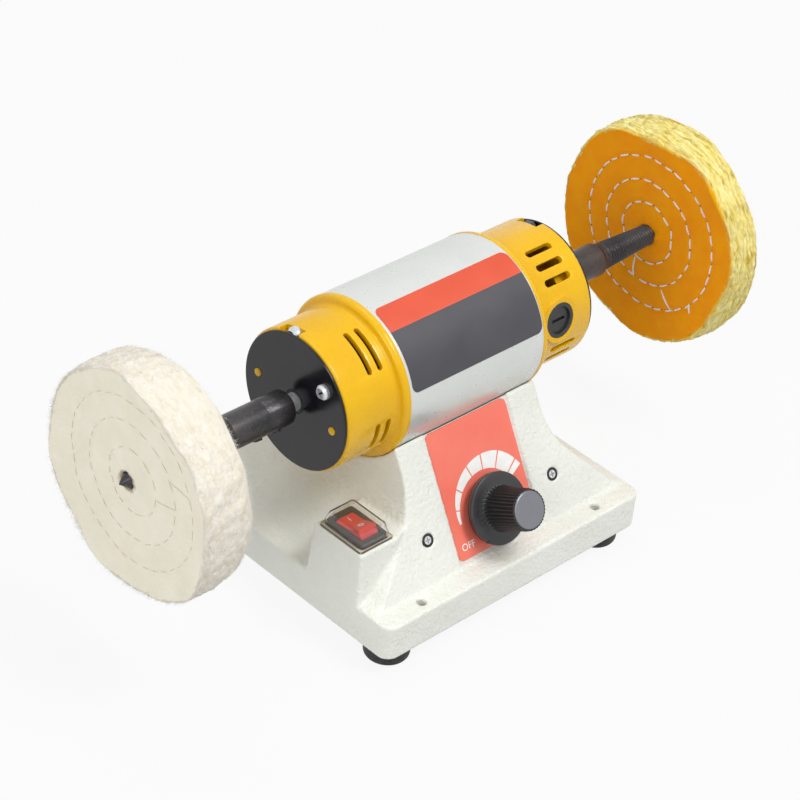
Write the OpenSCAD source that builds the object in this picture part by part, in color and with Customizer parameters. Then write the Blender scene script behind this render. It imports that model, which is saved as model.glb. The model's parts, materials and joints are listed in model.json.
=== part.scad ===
// Bench buffer: a double-ended polishing motor in the cradle of a cast base.
// Frame: X runs along the spindle axis, the control panel faces -Y and Z is up.
// The origin lies on the bench surface, under the middle of the base.

/* [Base casting] */
// Width of the plinth along the spindle axis
base_w = 150; // [140:1:160]
// Depth of the plinth from front to back
base_d = 140; // [135:1:150]
// Height of the plinth without the feet
plinth_h = 17; // [15:1:20]
// Radius of the plinth's upright corners
plinth_r = 6; // [4:0.5:8]
// Wall thickness of the casting
wall = 4.5; // [3.5:0.5:5]
// Depth of the flat ledge in front of and behind the pedestal
ledge_w = 10.4; // [9:0.2:12]
// Lean of the pedestal's front and rear faces from upright, in degrees
face_tilt = 29.6; // [27:0.2:31]
// Width of the pedestal's neck under the motor
neck_w = 80.6; // [78:0.2:84]
// Distance from the plinth's side to where the flank's slope would meet its top
flank_inset = 4.8; // [3:0.2:7]
// Radius of the hollow curve below the neck
flare_r = 30; // [24:1:36]
// Radius of the hollow curve above the plinth
toe_r = 12; // [8:1:15]
// Radial gap between the motor barrel and its cradle
cradle_gap = 0.35; // [0.2:0.05:0.5]
// Hole for a bench bolt in the ledge
bench_bolt_d = 4.4; // [4:0.1:5]
// Spacing of the bench bolt holes along the plinth
bench_bolt_dx = 102.6; // [98:0.2:108]
// Distance of the bench bolt holes from the plinth's edge
bench_bolt_inset = 6.2; // [6:0.1:7]
// Thickness of the sheet that closes the base
cover_t = 1.5; // [1:0.1:2]
// Width of the rim around the bottom cover
cover_rim = 2.5; // [2:0.1:3]

/* [Feet] */
// Height of a rubber foot
foot_h = 9; // [8:0.5:11]
// Diameter of a rubber foot at its top
foot_d = 20.4; // [18:0.2:20.8]
// Distance of a foot's centre from the plinth's sides
foot_inset = 13; // [12.5:0.1:14]
// Diameter of a foot's screw
foot_screw_d = 4; // [3:0.5:4.5]

/* [Motor] */
// Height of the spindle axis above the bench
axis_h = 97; // [95:0.5:100]
// Outer diameter of the motor barrel
barrel_d = 70; // [68:0.5:71]
// Length of the motor barrel
barrel_l = 76; // [74:0.5:80]
// Wall of the motor barrel
barrel_wall = 1.6; // [1.2:0.1:2]
// Outer diameter of the moulded end housings' drums
drum_d = 62; // [61:0.5:63]
// Wall of the end housings
drum_wall = 2.5; // [2:0.1:3]
// Length of the flange next to the barrel
flange_l = 3.2; // [2.5:0.1:4]
// Radius of the hollow curve between flange and drum
cove_r = 2; // [1.2:0.1:2.4]
// Length of the left end housing outside the barrel
left_end_l = 30; // [29:0.5:32]
// Length of the right end housing outside the barrel
right_end_l = 33; // [32:0.5:35]
// Depth of the end housings' spigots inside the barrel
spigot_l = 4; // [3:0.5:6]
// Thickness of the end housings' end walls
end_wall = 2; // [1.6:0.1:2.6]
// Diameter of the black end plates
plate_d = 60.2; // [59:0.2:61]
// Thickness of the black end plates
plate_t = 1.1; // [0.8:0.1:1.5]
// Angle of the motor's brush line above the horizontal, in degrees
brush_angle = 12; // [8:1:16]
// Distance of the brush line from the barrel's right end
brush_x = 14; // [13:0.5:16]
// Radius of the circle that the tie bolts lie on
tie_bolt_r = 27.4; // [27:0.1:27.8]
// Diameter of the tie bolts
tie_bolt_d = 4; // [3.5:0.5:4]
// Depth of the left end housing's bolt pockets
left_notch = 4.2; // [3.8:0.1:5]
// Depth of the right end housing's bolt pockets
right_notch = 4.9; // [4.4:0.1:6]
// Length of the field's core
stack_l = 44; // [40:1:46]
// Bore of the field's core
field_bore = 40; // [39.6:0.1:40.8]
// Diameter of the armature
armature_d = 38.8; // [38:0.1:39]
// Number of slots in the armature
armature_slots = 12; // [8:2:14]
// Diameter of the commutator
commutator_d = 23; // [21:0.5:25]
// Number of bars in the commutator
commutator_bars = 24; // [16:4:28]
// Diameter of the cooling fan
fan_d = 46; // [42:1:48]
// Number of blades on the cooling fan
fan_blades = 9; // [7:2:13]
// Outer diameter of a ball bearing
bearing_d = 22; // [19:0.5:24]
// Width of a ball bearing
bearing_w = 7; // [6:0.5:7.5]

/* [Spindle] */
// Diameter of the motor shaft where it leaves the motor
shaft_d = 8; // [7:0.5:8.5]
// Gap between the right end plate and its collar
collar_gap = 1.9; // [1.2:0.1:2.6]
// Length of a collar
collar_l = 13.9; // [12:0.1:15]
// Diameter of the collars and the spindles' roots
collar_d = 15; // [14:0.5:16]
// Length of a spindle's straight root
root_l = 19; // [18:0.5:22]
// Diameter of a spindle's thread at its large end
thread_d = 12.2; // [11:0.2:13]
// Diameter of a spindle's thread at its small end
thread_end_d = 8.2; // [7:0.2:9]
// Length of a spindle's thread
thread_l = 39.5; // [37:0.5:42]
// Length of the plain cone at a spindle's tip
tip_l = 8.5; // [7:0.5:10]

/* [Buffing wheels] */
// Diameter of a buffing wheel
wheel_d = 100; // [92:1:104]
// Thickness of a wheel where it sits on the spindle
wheel_hub_t = 14.5; // [12:0.5:16]
// Distance of a wheel's mid plane from the thread's large end
wheel_in = 36.2; // [34:0.1:38]
// Thickness of the white wheel at its rim
white_rim_t = 21; // [16:0.5:22]
// Thickness of the yellow wheel at its rim
yellow_rim_t = 17; // [16:0.5:20]
// Plies that show at a wheel's rim
wheel_plies = 6; // [4:1:8]

/* [Control panel] */
// Distance of the speed knob's centre up the front face
knob_s = 17.8; // [17:0.1:19]
// Diameter of the knob's skirt
skirt_d = 31; // [28:0.5:32]
// Diameter of the knob's grip at its root
grip_d = 18; // [16.6:0.2:20]
// Height of the grip's end above the front face
grip_h = 23; // [20:0.5:25]
// Number of flutes around the grip
grip_flutes = 30; // [20:2:36]
// Diameter of the cap on the knob
cap_d = 16.3; // [14:0.1:16.5]
// Width of the coloured panel plate
panel_w = 46.2; // [40:0.2:46.8]
// Thickness of the coloured panel plate
panel_t = 0.5; // [0.4:0.1:0.8]
// Width of the recess that holds the panel plate
recess_w = 47.6; // [47.2:0.2:50]
// Depth of the recess that holds the panel plate
recess_depth = 1.8; // [1.4:0.1:2]
// Distance between the two screws beside the panel
panel_screw_dx = 73.2; // [70:0.2:75]
// Distance of those screws up the front face
panel_screw_s = 18.3; // [17.5:0.1:20]
// Diameter of the potentiometer's shaft
pot_shaft_d = 6; // [5:0.5:6]
// Diameter of the potentiometer's body
pot_d = 24; // [20:1:26]

/* [Switch] */
// Height of the switch pod's top above the plinth's underside
pod_top = 41; // [39:0.5:42]
// Distance of the switch's centre from the plinth's left side
switch_inset = 11.8; // [11.6:0.1:12.2]
// Distance of the switch's centre in front of the middle
switch_y = 35; // [34:0.2:35.6]
// Length of the switch's bezel
bezel_l = 21.8; // [21:0.1:22]
// Width of the switch's bezel
bezel_w = 14; // [13.4:0.1:14.4]
// Height of the switch's bezel
bezel_t = 2; // [1.6:0.1:2.4]
// Tilt of the rocker from its middle position, in degrees
rocker_tilt = 12; // [8:1:14]
// Height of the clear cover above its gasket
cover_h = 6.6; // [6.4:0.1:8]

/* [Hidden] */
$fn = 64;
// A cut runs this far past the face it opens
eps = 0.5;
// Radial clearance of a fit that doesn't move
fit = 0.05;
// Radial clearance of a running fit
run = 0.03;
cream = [0.93, 0.93, 0.88];
yellow = [0.98, 0.78, 0.09];
black = [0.12, 0.12, 0.13];
zinc = [0.78, 0.79, 0.8];
steel = [0.6, 0.61, 0.63];
copper = [0.75, 0.42, 0.22];

// Heights of the plinth and of the cavity in it
under_z = foot_h;
plinth_top = foot_h + plinth_h;
cavity_h = plinth_h - wall - cover_t;
foot_sink = 4.5;
// Cord inlet in the plinth's rear wall, above the bottom cover
gland_x = 34;
gland_z = under_z + cover_t + cavity_h / 2;
gland_r = cavity_h / 2 - 1.4;
gland_bore = gland_r - 0.9;
gland_out = 5.3;
gland_rim_t = 1.6;
gland_pad = 1;
gland_nut_t = 3;
// The front face starts at this distance behind the middle of the plinth's front edge
face_y0 = -base_d / 2 + ledge_w;
flank_foot = base_w / 2 - flank_inset;
barrel_r = barrel_d / 2;
cradle_r = barrel_r + cradle_gap;
// Depth of the spindle axis behind the plane of the front face
axis_behind_face = -(face_y0 * cos(face_tilt)) - (axis_h - plinth_top) * sin(face_tilt);
// Distance of the axis up the front face
axis_s = -face_y0 * sin(face_tilt) + (axis_h - plinth_top) * cos(face_tilt);
// The panel plate ends this far below the barrel
panel_gap = 0.5;
panel_top_s = axis_s - sqrt(pow(cradle_r, 2) - pow(axis_behind_face - recess_depth, 2)) - panel_gap;
panel_bottom_s = 2.4;
panel_r = 3;

// Bearings, plates and drums along the spindle axis
barrel_end = barrel_l / 2;
left_x = barrel_end + left_end_l;
right_x = barrel_end + right_end_l;
flange_r = barrel_r + cradle_gap / 2;
drum_r = drum_d / 2;
flange_round = flange_r - drum_r - cove_r;
drum_bore_r = drum_r - drum_wall;
brush_at = barrel_end + brush_x;
spigot_r = barrel_r - barrel_wall - fit;
stack_half = stack_l / 2;
end_turn = 9;
commutator_l = 13;
commutator_at = brush_at - commutator_l / 2;
fan_at = barrel_end + 7;
fan_l = 11;
seat_r = bearing_d / 2 + fit;
shaft_mid_r = shaft_d / 2 + 1;
notch_angle = brush_angle + 92;
notch_half = 5.9;
notch_in = tie_bolt_r - 4.4;
tie_head_h = left_notch - 0.8;
tie_head_r = 3.8;
tie_nut_h = 3;

// Field core and its pole shoes, with half angles of pole and shoe
core_r = barrel_r - barrel_wall - 0.1;
yoke_r = core_r - 5.4;
shoe_t = 3.6;
shoe_half = 56;
pole_half = 26;

// Places of the screws that hold the motor down in its cradle
mount_screws = [-14, 14];
mount_screw_d = 5;

// Screws and open holes in the end plates: angles and radius about the axis
plate_screw_angles = [41, 221];
plate_hole_angles = [-4, 176];
plate_screw_r = 22;
plate_screw_d = 4;

// Cooling slots: places beyond the barrel's end and angles of the left housing's, angles of the right's
left_slot_x = [8.2, 13.8];
left_slots = [[41, 73.5], [-28, -4]];
right_slots = [71, 57, 43.4, -15, -27];
right_slot_x = [12.2, 23.8];
left_slot_w = 2.6;
right_slot_w = 3.2;

// The label covers these angles and this stretch of the barrel
label_low = 14.3;
label_high = 78.7;
label_x0 = -barrel_end + 1.5;
label_x1 = barrel_end - 0.7;

// Brush gear
brush_flange_r = 7.8;
brush_cap_r = 6;
brush_pad_r = 9.8;
brush_cap_out = drum_r - 1.2;
brush_cap_in = drum_r - 3.4;
brush = [6, 8];
brush_l = 8;
brush_r0 = commutator_d / 2 + 0.1;
brush_r1 = brush_r0 + brush_l;
brush_flange_in = drum_r - 5;
spring_turns = 4;
spring_wire_r = 0.35;
spring_r = 2.2;
spring_steps = 12;

// Collars and spindles
collar_x = right_x + plate_t + collar_gap;
root_x = collar_x + collar_l + 0.1;
root_end_x = root_x + root_l;
left_grub_a = -60;
right_grub_a = 120;
shaft_end_x = root_x + root_l - 3;
shoulder_l = 2;
neck_l = 1.5;
thread_x = root_end_x + shoulder_l + neck_l;
thread_end_x = thread_x + thread_l;
tip_x = thread_end_x + tip_l;
wheel_x = thread_x + wheel_in;
grub_d = 4;
grub_out = 0.6;
collar_grub_x = collar_x + collar_l * 0.58;
root_grub_x = root_x + 3.6;

// Switch
switch_x = base_w / 2 - switch_inset;
switch_z = under_z + pod_top;
gasket_t = 0.8;
bezel_z = switch_z + gasket_t;
rocker_z = bezel_z + bezel_t - 3.6;
rocker_r = bezel_l / 2 - 2.74;
rocker_w = bezel_w - 5;
rocker_rise = rocker_r * 0.65;
rocker_dip = 1.5;
body_l = bezel_l - 1.8;
body_w = bezel_w - 2;
body_h = 15;
cover_wall = 0.6;
cover_gap = 0.1;
cover_r = 1.7;
cover_lean = [0.7, 1.4];
cover_bevel = 0.5;
gasket_w = bezel_w + 4.4;
gasket_l = bezel_l + 3.2;

// Control panel pieces, measured outward from the front face
pot_wall = wall;
pot_body_h = 9;
bush_r = pot_shaft_d / 2 + 0.9;
nut_af = 10;
nut_t = 2;
skirt_back = 0.9;
skirt_t = 1.6;
skirt_rise = 1.4;
shaft_out = 14;
boss_end = wall + 10.6;
board_t = 1.6;
board_w = 80;
board_s0 = 3;
board_s1 = 31;
screw_sink = 2.6;
screw_d = 3;
screw_head_r = screw_d * 0.8;

// Moves to the front face: X stays, Y runs up the slope and Z points out of the face
module on_face() {
    translate([0, face_y0, plinth_top]) rotate([90 - face_tilt, 0, 0]) children();
}

// Turns a profile of [radius, distance along X] about the spindle axis
module turn(centre_z = axis_h) {
    translate([0, 0, centre_z]) rotate([0, 90, 0]) rotate_extrude() children();
}

// The same over a sector, from angle a to b, where 0 faces the front and 90 the top
module sector(a, b) {
    translate([0, 0, axis_h]) rotate([0, 90, 0]) rotate_extrude(angle = b - a, start = -90 - b) children();
}

// Turns children about the axis: what lies towards -Y ends up at angle a
module spoke(a) {
    translate([0, 0, axis_h]) rotate([-a, 0, 0]) children();
}

// A cylinder that runs out along a spoke at x, from radius r0 to r1
module radial_pin(a, x, r0, r1, r) {
    spoke(a) translate([x, -r0, 0]) rotate([90, 0, 0]) cylinder(h = r1 - r0, r = r);
}

// A cylinder along X from x0 to x1 at a radius and angle about the spindle axis
module axial_pin(a, at_r, x0, x1, r) {
    spoke(a) translate([x0, -at_r, 0]) rotate([0, 90, 0]) cylinder(h = x1 - x0, r = r);
}

// A rectangle of [radius, x] for turn and sector
module ring_2d(r0, r1, x0, x1) {
    translate([r0, x0]) square([r1 - r0, x1 - x0]);
}

// A rectangle with round corners about the origin
module round_rect(w, d, r) {
    square([w - 2 * r, d], center = true);
    square([w, d - 2 * r], center = true);
    for (sx = [-1, 1], sy = [-1, 1]) translate([sx * (w / 2 - r), sy * (d / 2 - r)]) circle(r);
}

// A block with round upright corners, from z0 to z1
module round_block(w, d, r, z0, z1) {
    translate([0, 0, z0]) linear_extrude(z1 - z0) round_rect(w, d, r);
}

module at_corners(dx, dy) {
    for (sx = [-1, 1], sy = [-1, 1]) translate([sx * dx, sy * dy, 0]) children();
}

module pan_head(r, h) {
    difference() {
        union() {
            cylinder(h = h * 0.55, r = r);
            translate([0, 0, h * 0.55]) cylinder(h = h * 0.45, r1 = r, r2 = r * 0.72);
        }
        for (a = [0, 90]) rotate([0, 0, a]) translate([-r * 0.55, -r * 0.13, h * 0.45]) cube([r * 1.1, r * 0.26, h]);
    }
}

// Base casting

// Outline of the pedestal across the front, drawn in X and Z, set in by a wall thickness
module flank_2d(inset) {
    half = neck_w / 2 - inset;
    slope_sum = flank_foot + plinth_top - inset * sqrt(2);
    foot_z = plinth_top - inset;
    knee = [half, slope_sum - half];
    toe = [slope_sum - foot_z, foot_z];
    r1 = flare_r + inset;
    r2 = toe_r + inset;
    t1 = r1 * tan(22.5);
    t2 = r2 * tan(22.5);
    top_z = axis_h;
    for (side = [0, 1]) mirror([side, 0]) {
        polygon([[0, foot_z - 1], [toe[0], foot_z - 1], toe, knee, [half, top_z], [0, top_z]]);
        difference() {
            polygon([knee, knee + t1 * [1, -1] / sqrt(2), [half + r1, knee[1] + t1], knee + [0, t1]]);
            translate([half + r1, knee[1] + t1]) circle(r1, $fn = 96);
        }
        difference() {
            polygon([toe, toe + [t2, 0], toe + [t2, r2], toe + t2 * [-1, 1] / sqrt(2)]);
            translate(toe + [t2, r2]) circle(r2, $fn = 96);
        }
    }
}

// The pedestal: the flank outline cut to the leaning front and rear faces
module pedestal(inset) {
    foot_z = plinth_top - inset;
    half_d = -face_y0 - inset / cos(face_tilt) + inset * tan(face_tilt);
    run_in = (axis_h - foot_z) * tan(face_tilt);
    intersection() {
        translate([0, base_d / 2, 0]) rotate([90, 0, 0]) linear_extrude(base_d) flank_2d(inset);
        translate([-base_w / 2, 0, 0]) rotate([90, 0, 90]) linear_extrude(base_w) polygon([
            [-half_d - tan(face_tilt), foot_z - 1], [half_d + tan(face_tilt), foot_z - 1],
            [half_d - run_in, axis_h], [-half_d + run_in, axis_h]]);
    }
}

// The pod that carries the switch, with a little draft on its walls and its inner end cut off at an angle
module switch_pod() {
    draft = 2;
    front = switch_y + 13.5;
    back = switch_y - 14.7;
    inner_x = neck_w / 2 + 4;
    cut_x = neck_w / 2 + 11.9;
    cut_slope = tan(24);
    foot_z = plinth_top - 5;
    intersection() {
        rotate([90, 0, 0]) linear_extrude(base_d / 2) polygon([[-base_w / 2, foot_z], [-base_w / 2, plinth_top],
            [-base_w / 2 + draft, switch_z], [-inner_x, switch_z], [-inner_x, foot_z]]);
        translate([-base_w / 2, 0, 0]) rotate([90, 0, 90]) linear_extrude(base_w / 2) polygon([
            [-front - draft, foot_z], [-front - draft, plinth_top], [-front, switch_z],
            [-back, switch_z], [-back + draft / 2, plinth_top], [-back + draft / 2, foot_z]]);
        translate([0, 0, foot_z - 1]) linear_extrude(switch_z - foot_z + 2) polygon([
            [-base_w, -front - (base_w - cut_x) * cut_slope], [-inner_x + 1, -front + (cut_x - inner_x + 1) * cut_slope],
            [-inner_x + 1, 0], [-base_w, 0]]);
    }
}

module casting_shell() {
    difference() {
        union() {
            round_block(base_w, base_d, plinth_r, under_z, plinth_top);
            intersection() {
                pedestal(0);
                round_block(base_w, base_d, plinth_r, under_z, axis_h);
            }
            switch_pod();
        }
        round_block(base_w - 2 * wall, base_d - 2 * wall, plinth_r - 2, under_z - eps, plinth_top - wall);
        difference() {
            pedestal(wall);
            turn() ring_2d(0, cradle_r + wall, -base_w, base_w);
        }
        translate([-base_w / 2 + 4, -switch_y - 11, plinth_top - wall - eps])
            cube([base_w / 2 - 4 - neck_w / 2 + wall + 2, 22, switch_z - 2.5 - plinth_top + wall + eps]);
    }
}

module base_casting() color(cream) {
    boss_r = 5.6;
    floor_z = under_z + cover_t;
    difference() {
        union() {
            casting_shell();
            at_corners(bench_bolt_dx / 2, base_d / 2 - bench_bolt_inset)
                translate([0, 0, floor_z]) cylinder(h = plinth_top - wall / 2 - floor_z, r = bench_bolt_d / 2 + 2.6);
            at_corners(base_w / 2 - foot_inset, base_d / 2 - foot_inset)
                translate([0, 0, floor_z]) cylinder(h = plinth_top - wall / 2 - floor_z, r = boss_r);
            on_face() for (side = [-1, 1]) translate([side * panel_screw_dx / 2, panel_screw_s, -boss_end])
                cylinder(h = boss_end - wall / 2, r = screw_d / 2 + 2.6);
            translate([gland_x, base_d / 2 - wall - gland_pad, gland_z]) rotate([-90, 0, 0])
                cylinder(h = wall, r = cavity_h / 2 + 0.4);
        }
        turn() ring_2d(0, cradle_r, -base_w, base_w);
        round_block(base_w - 2 * cover_rim, base_d - 2 * cover_rim, plinth_r - cover_rim, under_z - eps, floor_z);
        at_corners(bench_bolt_dx / 2, base_d / 2 - bench_bolt_inset)
            translate([0, 0, under_z]) cylinder(h = plinth_h + eps, r = bench_bolt_d / 2);
        at_corners(base_w / 2 - foot_inset, base_d / 2 - foot_inset)
            translate([0, 0, floor_z - eps]) cylinder(h = plinth_h - cover_t - wall / 2, r = foot_screw_d / 2 + fit);
        panel_recess();
        on_face() {
            translate([0, knob_s, -wall - eps]) cylinder(h = wall + 2 * eps, r = bush_r + fit);
            for (side = [-1, 1]) translate([side * panel_screw_dx / 2, panel_screw_s, 0]) {
                translate([0, 0, -screw_sink]) cylinder(h = screw_sink + eps, r = screw_head_r + 0.4);
                translate([0, 0, -boss_end - eps]) cylinder(h = boss_end, r = screw_d / 2 + 0.1);
            }
        }
        translate([-switch_x - body_w / 2 - 0.1, -switch_y - body_l / 2 - 0.1, switch_z - 4])
            cube([body_w + 0.2, body_l + 0.2, 4 + eps]);
        for (x = mount_screws) translate([x, 0, axis_h - cradle_r - wall - eps])
            cylinder(h = wall + 2 * eps + 1, r = mount_screw_d / 2 + 0.1);
        translate([gland_x, base_d / 2 - wall - gland_pad - eps, gland_z]) rotate([-90, 0, 0])
            cylinder(h = wall + gland_pad + 2 * eps, r = gland_r + fit);
    }
}

module panel_recess() {
    length = panel_top_s + 8 - panel_bottom_s + 1;
    on_face() translate([-recess_w / 2, panel_bottom_s - 1, -recess_depth]) cube([recess_w, length, recess_depth + 8]);
}

module bottom_cover() color(steel) {
    gap = 0.2;
    difference() {
        round_block(base_w - 2 * cover_rim - 2 * gap, base_d - 2 * cover_rim - 2 * gap,
            plinth_r - cover_rim - gap, under_z, under_z + cover_t);
        at_corners(bench_bolt_dx / 2, base_d / 2 - bench_bolt_inset)
            translate([0, 0, under_z - eps]) cylinder(h = cover_t + 2 * eps, r = bench_bolt_d / 2);
        at_corners(base_w / 2 - foot_inset, base_d / 2 - foot_inset)
            translate([0, 0, under_z - eps]) cylinder(h = cover_t + 2 * eps, r = foot_screw_d / 2 + 0.2);
    }
}

module rubber_feet() color(black) at_corners(base_w / 2 - foot_inset, base_d / 2 - foot_inset) {
    rotate_extrude() difference() {
        polygon([[foot_screw_d / 2 + fit, 0], [foot_d / 2 - 1.6, 0], [foot_d / 2 - 0.4, 1.2],
            [foot_d / 2, foot_h], [foot_screw_d / 2 + fit, foot_h]]);
        translate([0, -eps]) square([foot_screw_d + 0.2, foot_sink + eps]);
    }
}

module foot_screws() color(zinc) at_corners(base_w / 2 - foot_inset, base_d / 2 - foot_inset) {
    translate([0, 0, foot_sink]) mirror([0, 0, 1]) pan_head(foot_screw_d * 0.9, 2.4);
    translate([0, 0, foot_sink - 0.2]) cylinder(h = plinth_top - wall - foot_sink - 0.6, r = foot_screw_d / 2);
}

module cord_gland() color(black) translate([gland_x, base_d / 2, gland_z]) rotate([-90, 0, 0]) difference() {
    inside = wall + gland_pad + gland_nut_t + 1;
    union() {
        translate([0, 0, -inside]) cylinder(h = inside, r = gland_r);
        cylinder(h = gland_rim_t, r = gland_r + 2.2);
        translate([0, 0, gland_rim_t]) cylinder(h = gland_out - gland_rim_t, r1 = gland_r + 1, r2 = gland_r);
    }
    translate([0, 0, -inside - eps]) cylinder(h = inside + gland_out + 2 * eps, r = gland_bore);
}

module gland_nut() color(black) translate([gland_x, base_d / 2 - wall - gland_pad, gland_z]) rotate([90, 0, 0]) difference() {
    cylinder(h = gland_nut_t, r = (cavity_h / 2 - 0.4) / cos(30), $fn = 6);
    translate([0, 0, -eps]) cylinder(h = gland_nut_t + 2 * eps, r = gland_r + fit);
}

module motor_mount_screws() color(zinc) for (x = mount_screws) translate([x, 0, axis_h - cradle_r - wall]) {
    mirror([0, 0, 1]) pan_head(mount_screw_d * 0.9, 3);
    translate([0, 0, -0.2]) cylinder(h = wall + cradle_gap + barrel_wall + 4.2, r = mount_screw_d / 2);
}

// Control panel

module panel_plate() color([0.95, 0.4, 0.32]) on_face() difference() {
    translate([0, (panel_top_s + panel_bottom_s) / 2, -recess_depth])
        linear_extrude(panel_t) round_rect(panel_w, panel_top_s - panel_bottom_s, panel_r);
    translate([0, knob_s, -recess_depth - eps]) cylinder(h = panel_t + 2 * eps, r = bush_r + fit);
}

module board_screws() color(zinc) on_face() for (side = [-1, 1])
    translate([side * panel_screw_dx / 2, panel_screw_s, -screw_sink]) {
        pan_head(screw_head_r, 2.2);
        translate([0, 0, -boss_end + screw_sink - board_t - 3.6]) cylinder(h = boss_end - screw_sink + board_t + 3.8, r = screw_d / 2);
    }

module board_nuts() color(zinc) on_face() for (side = [-1, 1])
    translate([side * panel_screw_dx / 2, panel_screw_s, -boss_end - board_t - 3]) difference() {
        cylinder(h = 3, r = screw_d, $fn = 6);
        translate([0, 0, -eps]) cylinder(h = 4, r = screw_d / 2 + fit);
    }

module control_board() color([0.1, 0.4, 0.2]) on_face() difference() {
    translate([-board_w / 2, board_s0, -boss_end - board_t]) cube([board_w, board_s1 - board_s0, board_t]);
    for (side = [-1, 1]) translate([side * panel_screw_dx / 2, panel_screw_s, -boss_end - board_t - eps])
        cylinder(h = board_t + 2 * eps, r = screw_d / 2 + 0.1);
}

// Moves to the back of the board, where Z points away from the panel
module on_board(x, s) {
    on_face() translate([x, s, -boss_end - board_t]) mirror([0, 0, 1]) children();
}

module board_capacitor() color([0.85, 0.7, 0.2]) on_board(-20, 17)
    linear_extrude(13) round_rect(17, 9, 1.2);

module board_choke() color(copper) on_board(-1, 14.5) difference() {
    cylinder(h = 9, r = 8.5);
    translate([0, 0, -eps]) cylinder(h = 10, r = 3.6);
}

module board_triac() color(black) on_board(13, 17) {
    translate([-2.2, -5, 3]) cube([4.4, 10, 15]);
    for (s = [-2.5, 0, 2.5]) translate([-0.5, s - 0.4, 0]) cube([0.7, 0.8, 3.2]);
}

module heat_sink() color(zinc) on_board(15.2, 17) difference() {
    translate([0, -10, 0]) cube([10, 20, 20]);
    for (s = [-7.6, -2.6, 2.4]) translate([2, s, -eps]) cube([9, 3.4, 21]);
}

module terminal_block() color([0.15, 0.45, 0.25]) on_board(-2, 27) difference() {
    translate([-12, -3, 0]) cube([24, 6, 10]);
    for (x = [-9, -3, 3, 9]) translate([x, 0, 5]) cylinder(h = 6, r = 1.8);
}

module potentiometer_body() color(steel) on_face() translate([0, knob_s, 0]) difference() {
    union() {
        translate([0, 0, -pot_wall - pot_body_h]) cylinder(h = pot_body_h, r = pot_d / 2);
        translate([0, 0, -pot_wall - 1]) cylinder(h = pot_wall + 1 - recess_depth + panel_t + nut_t + 1, r = bush_r);
        for (x = [-5, 0, 5]) translate([x - 0.6, -pot_d / 2 - 0.6, -boss_end + 0.1])
            cube([1.2, 1.2, boss_end - pot_wall - 4]);
    }
    translate([0, 0, -pot_wall - 4]) cylinder(h = pot_wall + 12, r = pot_shaft_d / 2 + run);
}

module potentiometer_nut() color(zinc) on_face() translate([0, knob_s, -recess_depth + panel_t]) difference() {
    union() {
        cylinder(h = 0.5, r = nut_af / 2 + 1);
        cylinder(h = nut_t, r = nut_af / 2 / cos(30), $fn = 6);
    }
    translate([0, 0, -eps]) cylinder(h = nut_t + 2 * eps, r = bush_r + fit);
}

module potentiometer_shaft() color(zinc) on_face() translate([0, knob_s, -pot_wall - 3.8])
    cylinder(h = pot_wall + 3.8 + shaft_out, r = pot_shaft_d / 2);

// The knob: a thin coned skirt with a pointer notch and a fluted grip, hollow around the nut
module speed_knob() color(black) on_face() translate([0, knob_s, 0]) difference() {
    grip_r = grip_d / 2;
    flute_r = 0.5;
    union() {
        translate([0, 0, skirt_back]) cylinder(h = skirt_t, r = skirt_d / 2);
        translate([0, 0, skirt_back + skirt_t]) cylinder(h = skirt_rise, r1 = skirt_d / 2 - 0.3, r2 = grip_r + 1);
        translate([0, 0, skirt_back]) linear_extrude(grip_h - skirt_back) difference() {
            circle(grip_r);
            for (i = [0:grip_flutes - 1]) rotate(i * 360 / grip_flutes)
                translate([grip_r + flute_r * 0.2, 0]) circle(flute_r, $fn = 16);
        }
    }
    translate([0, 0, skirt_back - eps]) cylinder(h = 3 + eps, r = nut_af / 2 / cos(30) + 0.8);
    translate([0, 0, 0]) cylinder(h = shaft_out + 0.6, r = pot_shaft_d / 2 + fit);
    translate([0, 0, grip_h - 1]) cylinder(h = 1 + eps, r = cap_d / 2 + fit);
    rotate(225) translate([skirt_d / 2 - 1.6, -0.5, 0]) cube([2, 1, skirt_back + skirt_t + skirt_rise]);
}

module knob_cap() color([0.5, 0.5, 0.52]) on_face() translate([0, knob_s, grip_h - 1]) {
    cylinder(h = 1.2, r = cap_d / 2);
    translate([0, 0, 1.2]) cylinder(h = 0.4, r1 = cap_d / 2, r2 = cap_d / 2 - 0.5);
}

// Switch

module at_switch() {
    translate([-switch_x, -switch_y, 0]) children();
}

module rocker_2d() {
    side = rocker_r + 1;
    intersection() {
        circle(rocker_r);
        polygon([[-side, -3], [side, -3], [side, rocker_rise], [0, rocker_rise - rocker_dip], [-side, rocker_rise]]);
    }
}

module switch_housing() color(black) at_switch() difference() {
    union() {
        translate([0, 0, bezel_z]) linear_extrude(bezel_t) round_rect(bezel_w, bezel_l, 1.2);
        translate([-body_w / 2, -body_l / 2, bezel_z - body_h]) cube([body_w, body_l, body_h + 0.2]);
    }
    translate([-rocker_w / 2 - 0.2, -rocker_r - 0.2, rocker_z - 5.6])
        cube([rocker_w + 0.4, 2 * rocker_r + 0.4, 12]);
    translate([-body_w / 2 + 0.4, 0, rocker_z]) rotate([0, 90, 0]) cylinder(h = body_w - 0.8, r = 1 + run);
}

module switch_rocker() color([0.8, 0.1, 0.08]) at_switch() translate([0, 0, rocker_z]) rotate([-rocker_tilt, 0, 0]) {
    translate([-rocker_w / 2, 0, 0]) rotate([90, 0, 90]) linear_extrude(rocker_w) rocker_2d();
    translate([-body_w / 2 + 0.6, 0, 0]) rotate([0, 90, 0]) cylinder(h = body_w - 1.2, r = 1);
}

module switch_terminals() color([0.85, 0.75, 0.45]) at_switch() for (y = [-6.5, 0, 6.5])
    translate([-2.4, y - 0.4, bezel_z - body_h - 7]) cube([4.8, 0.8, 7]);

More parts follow.
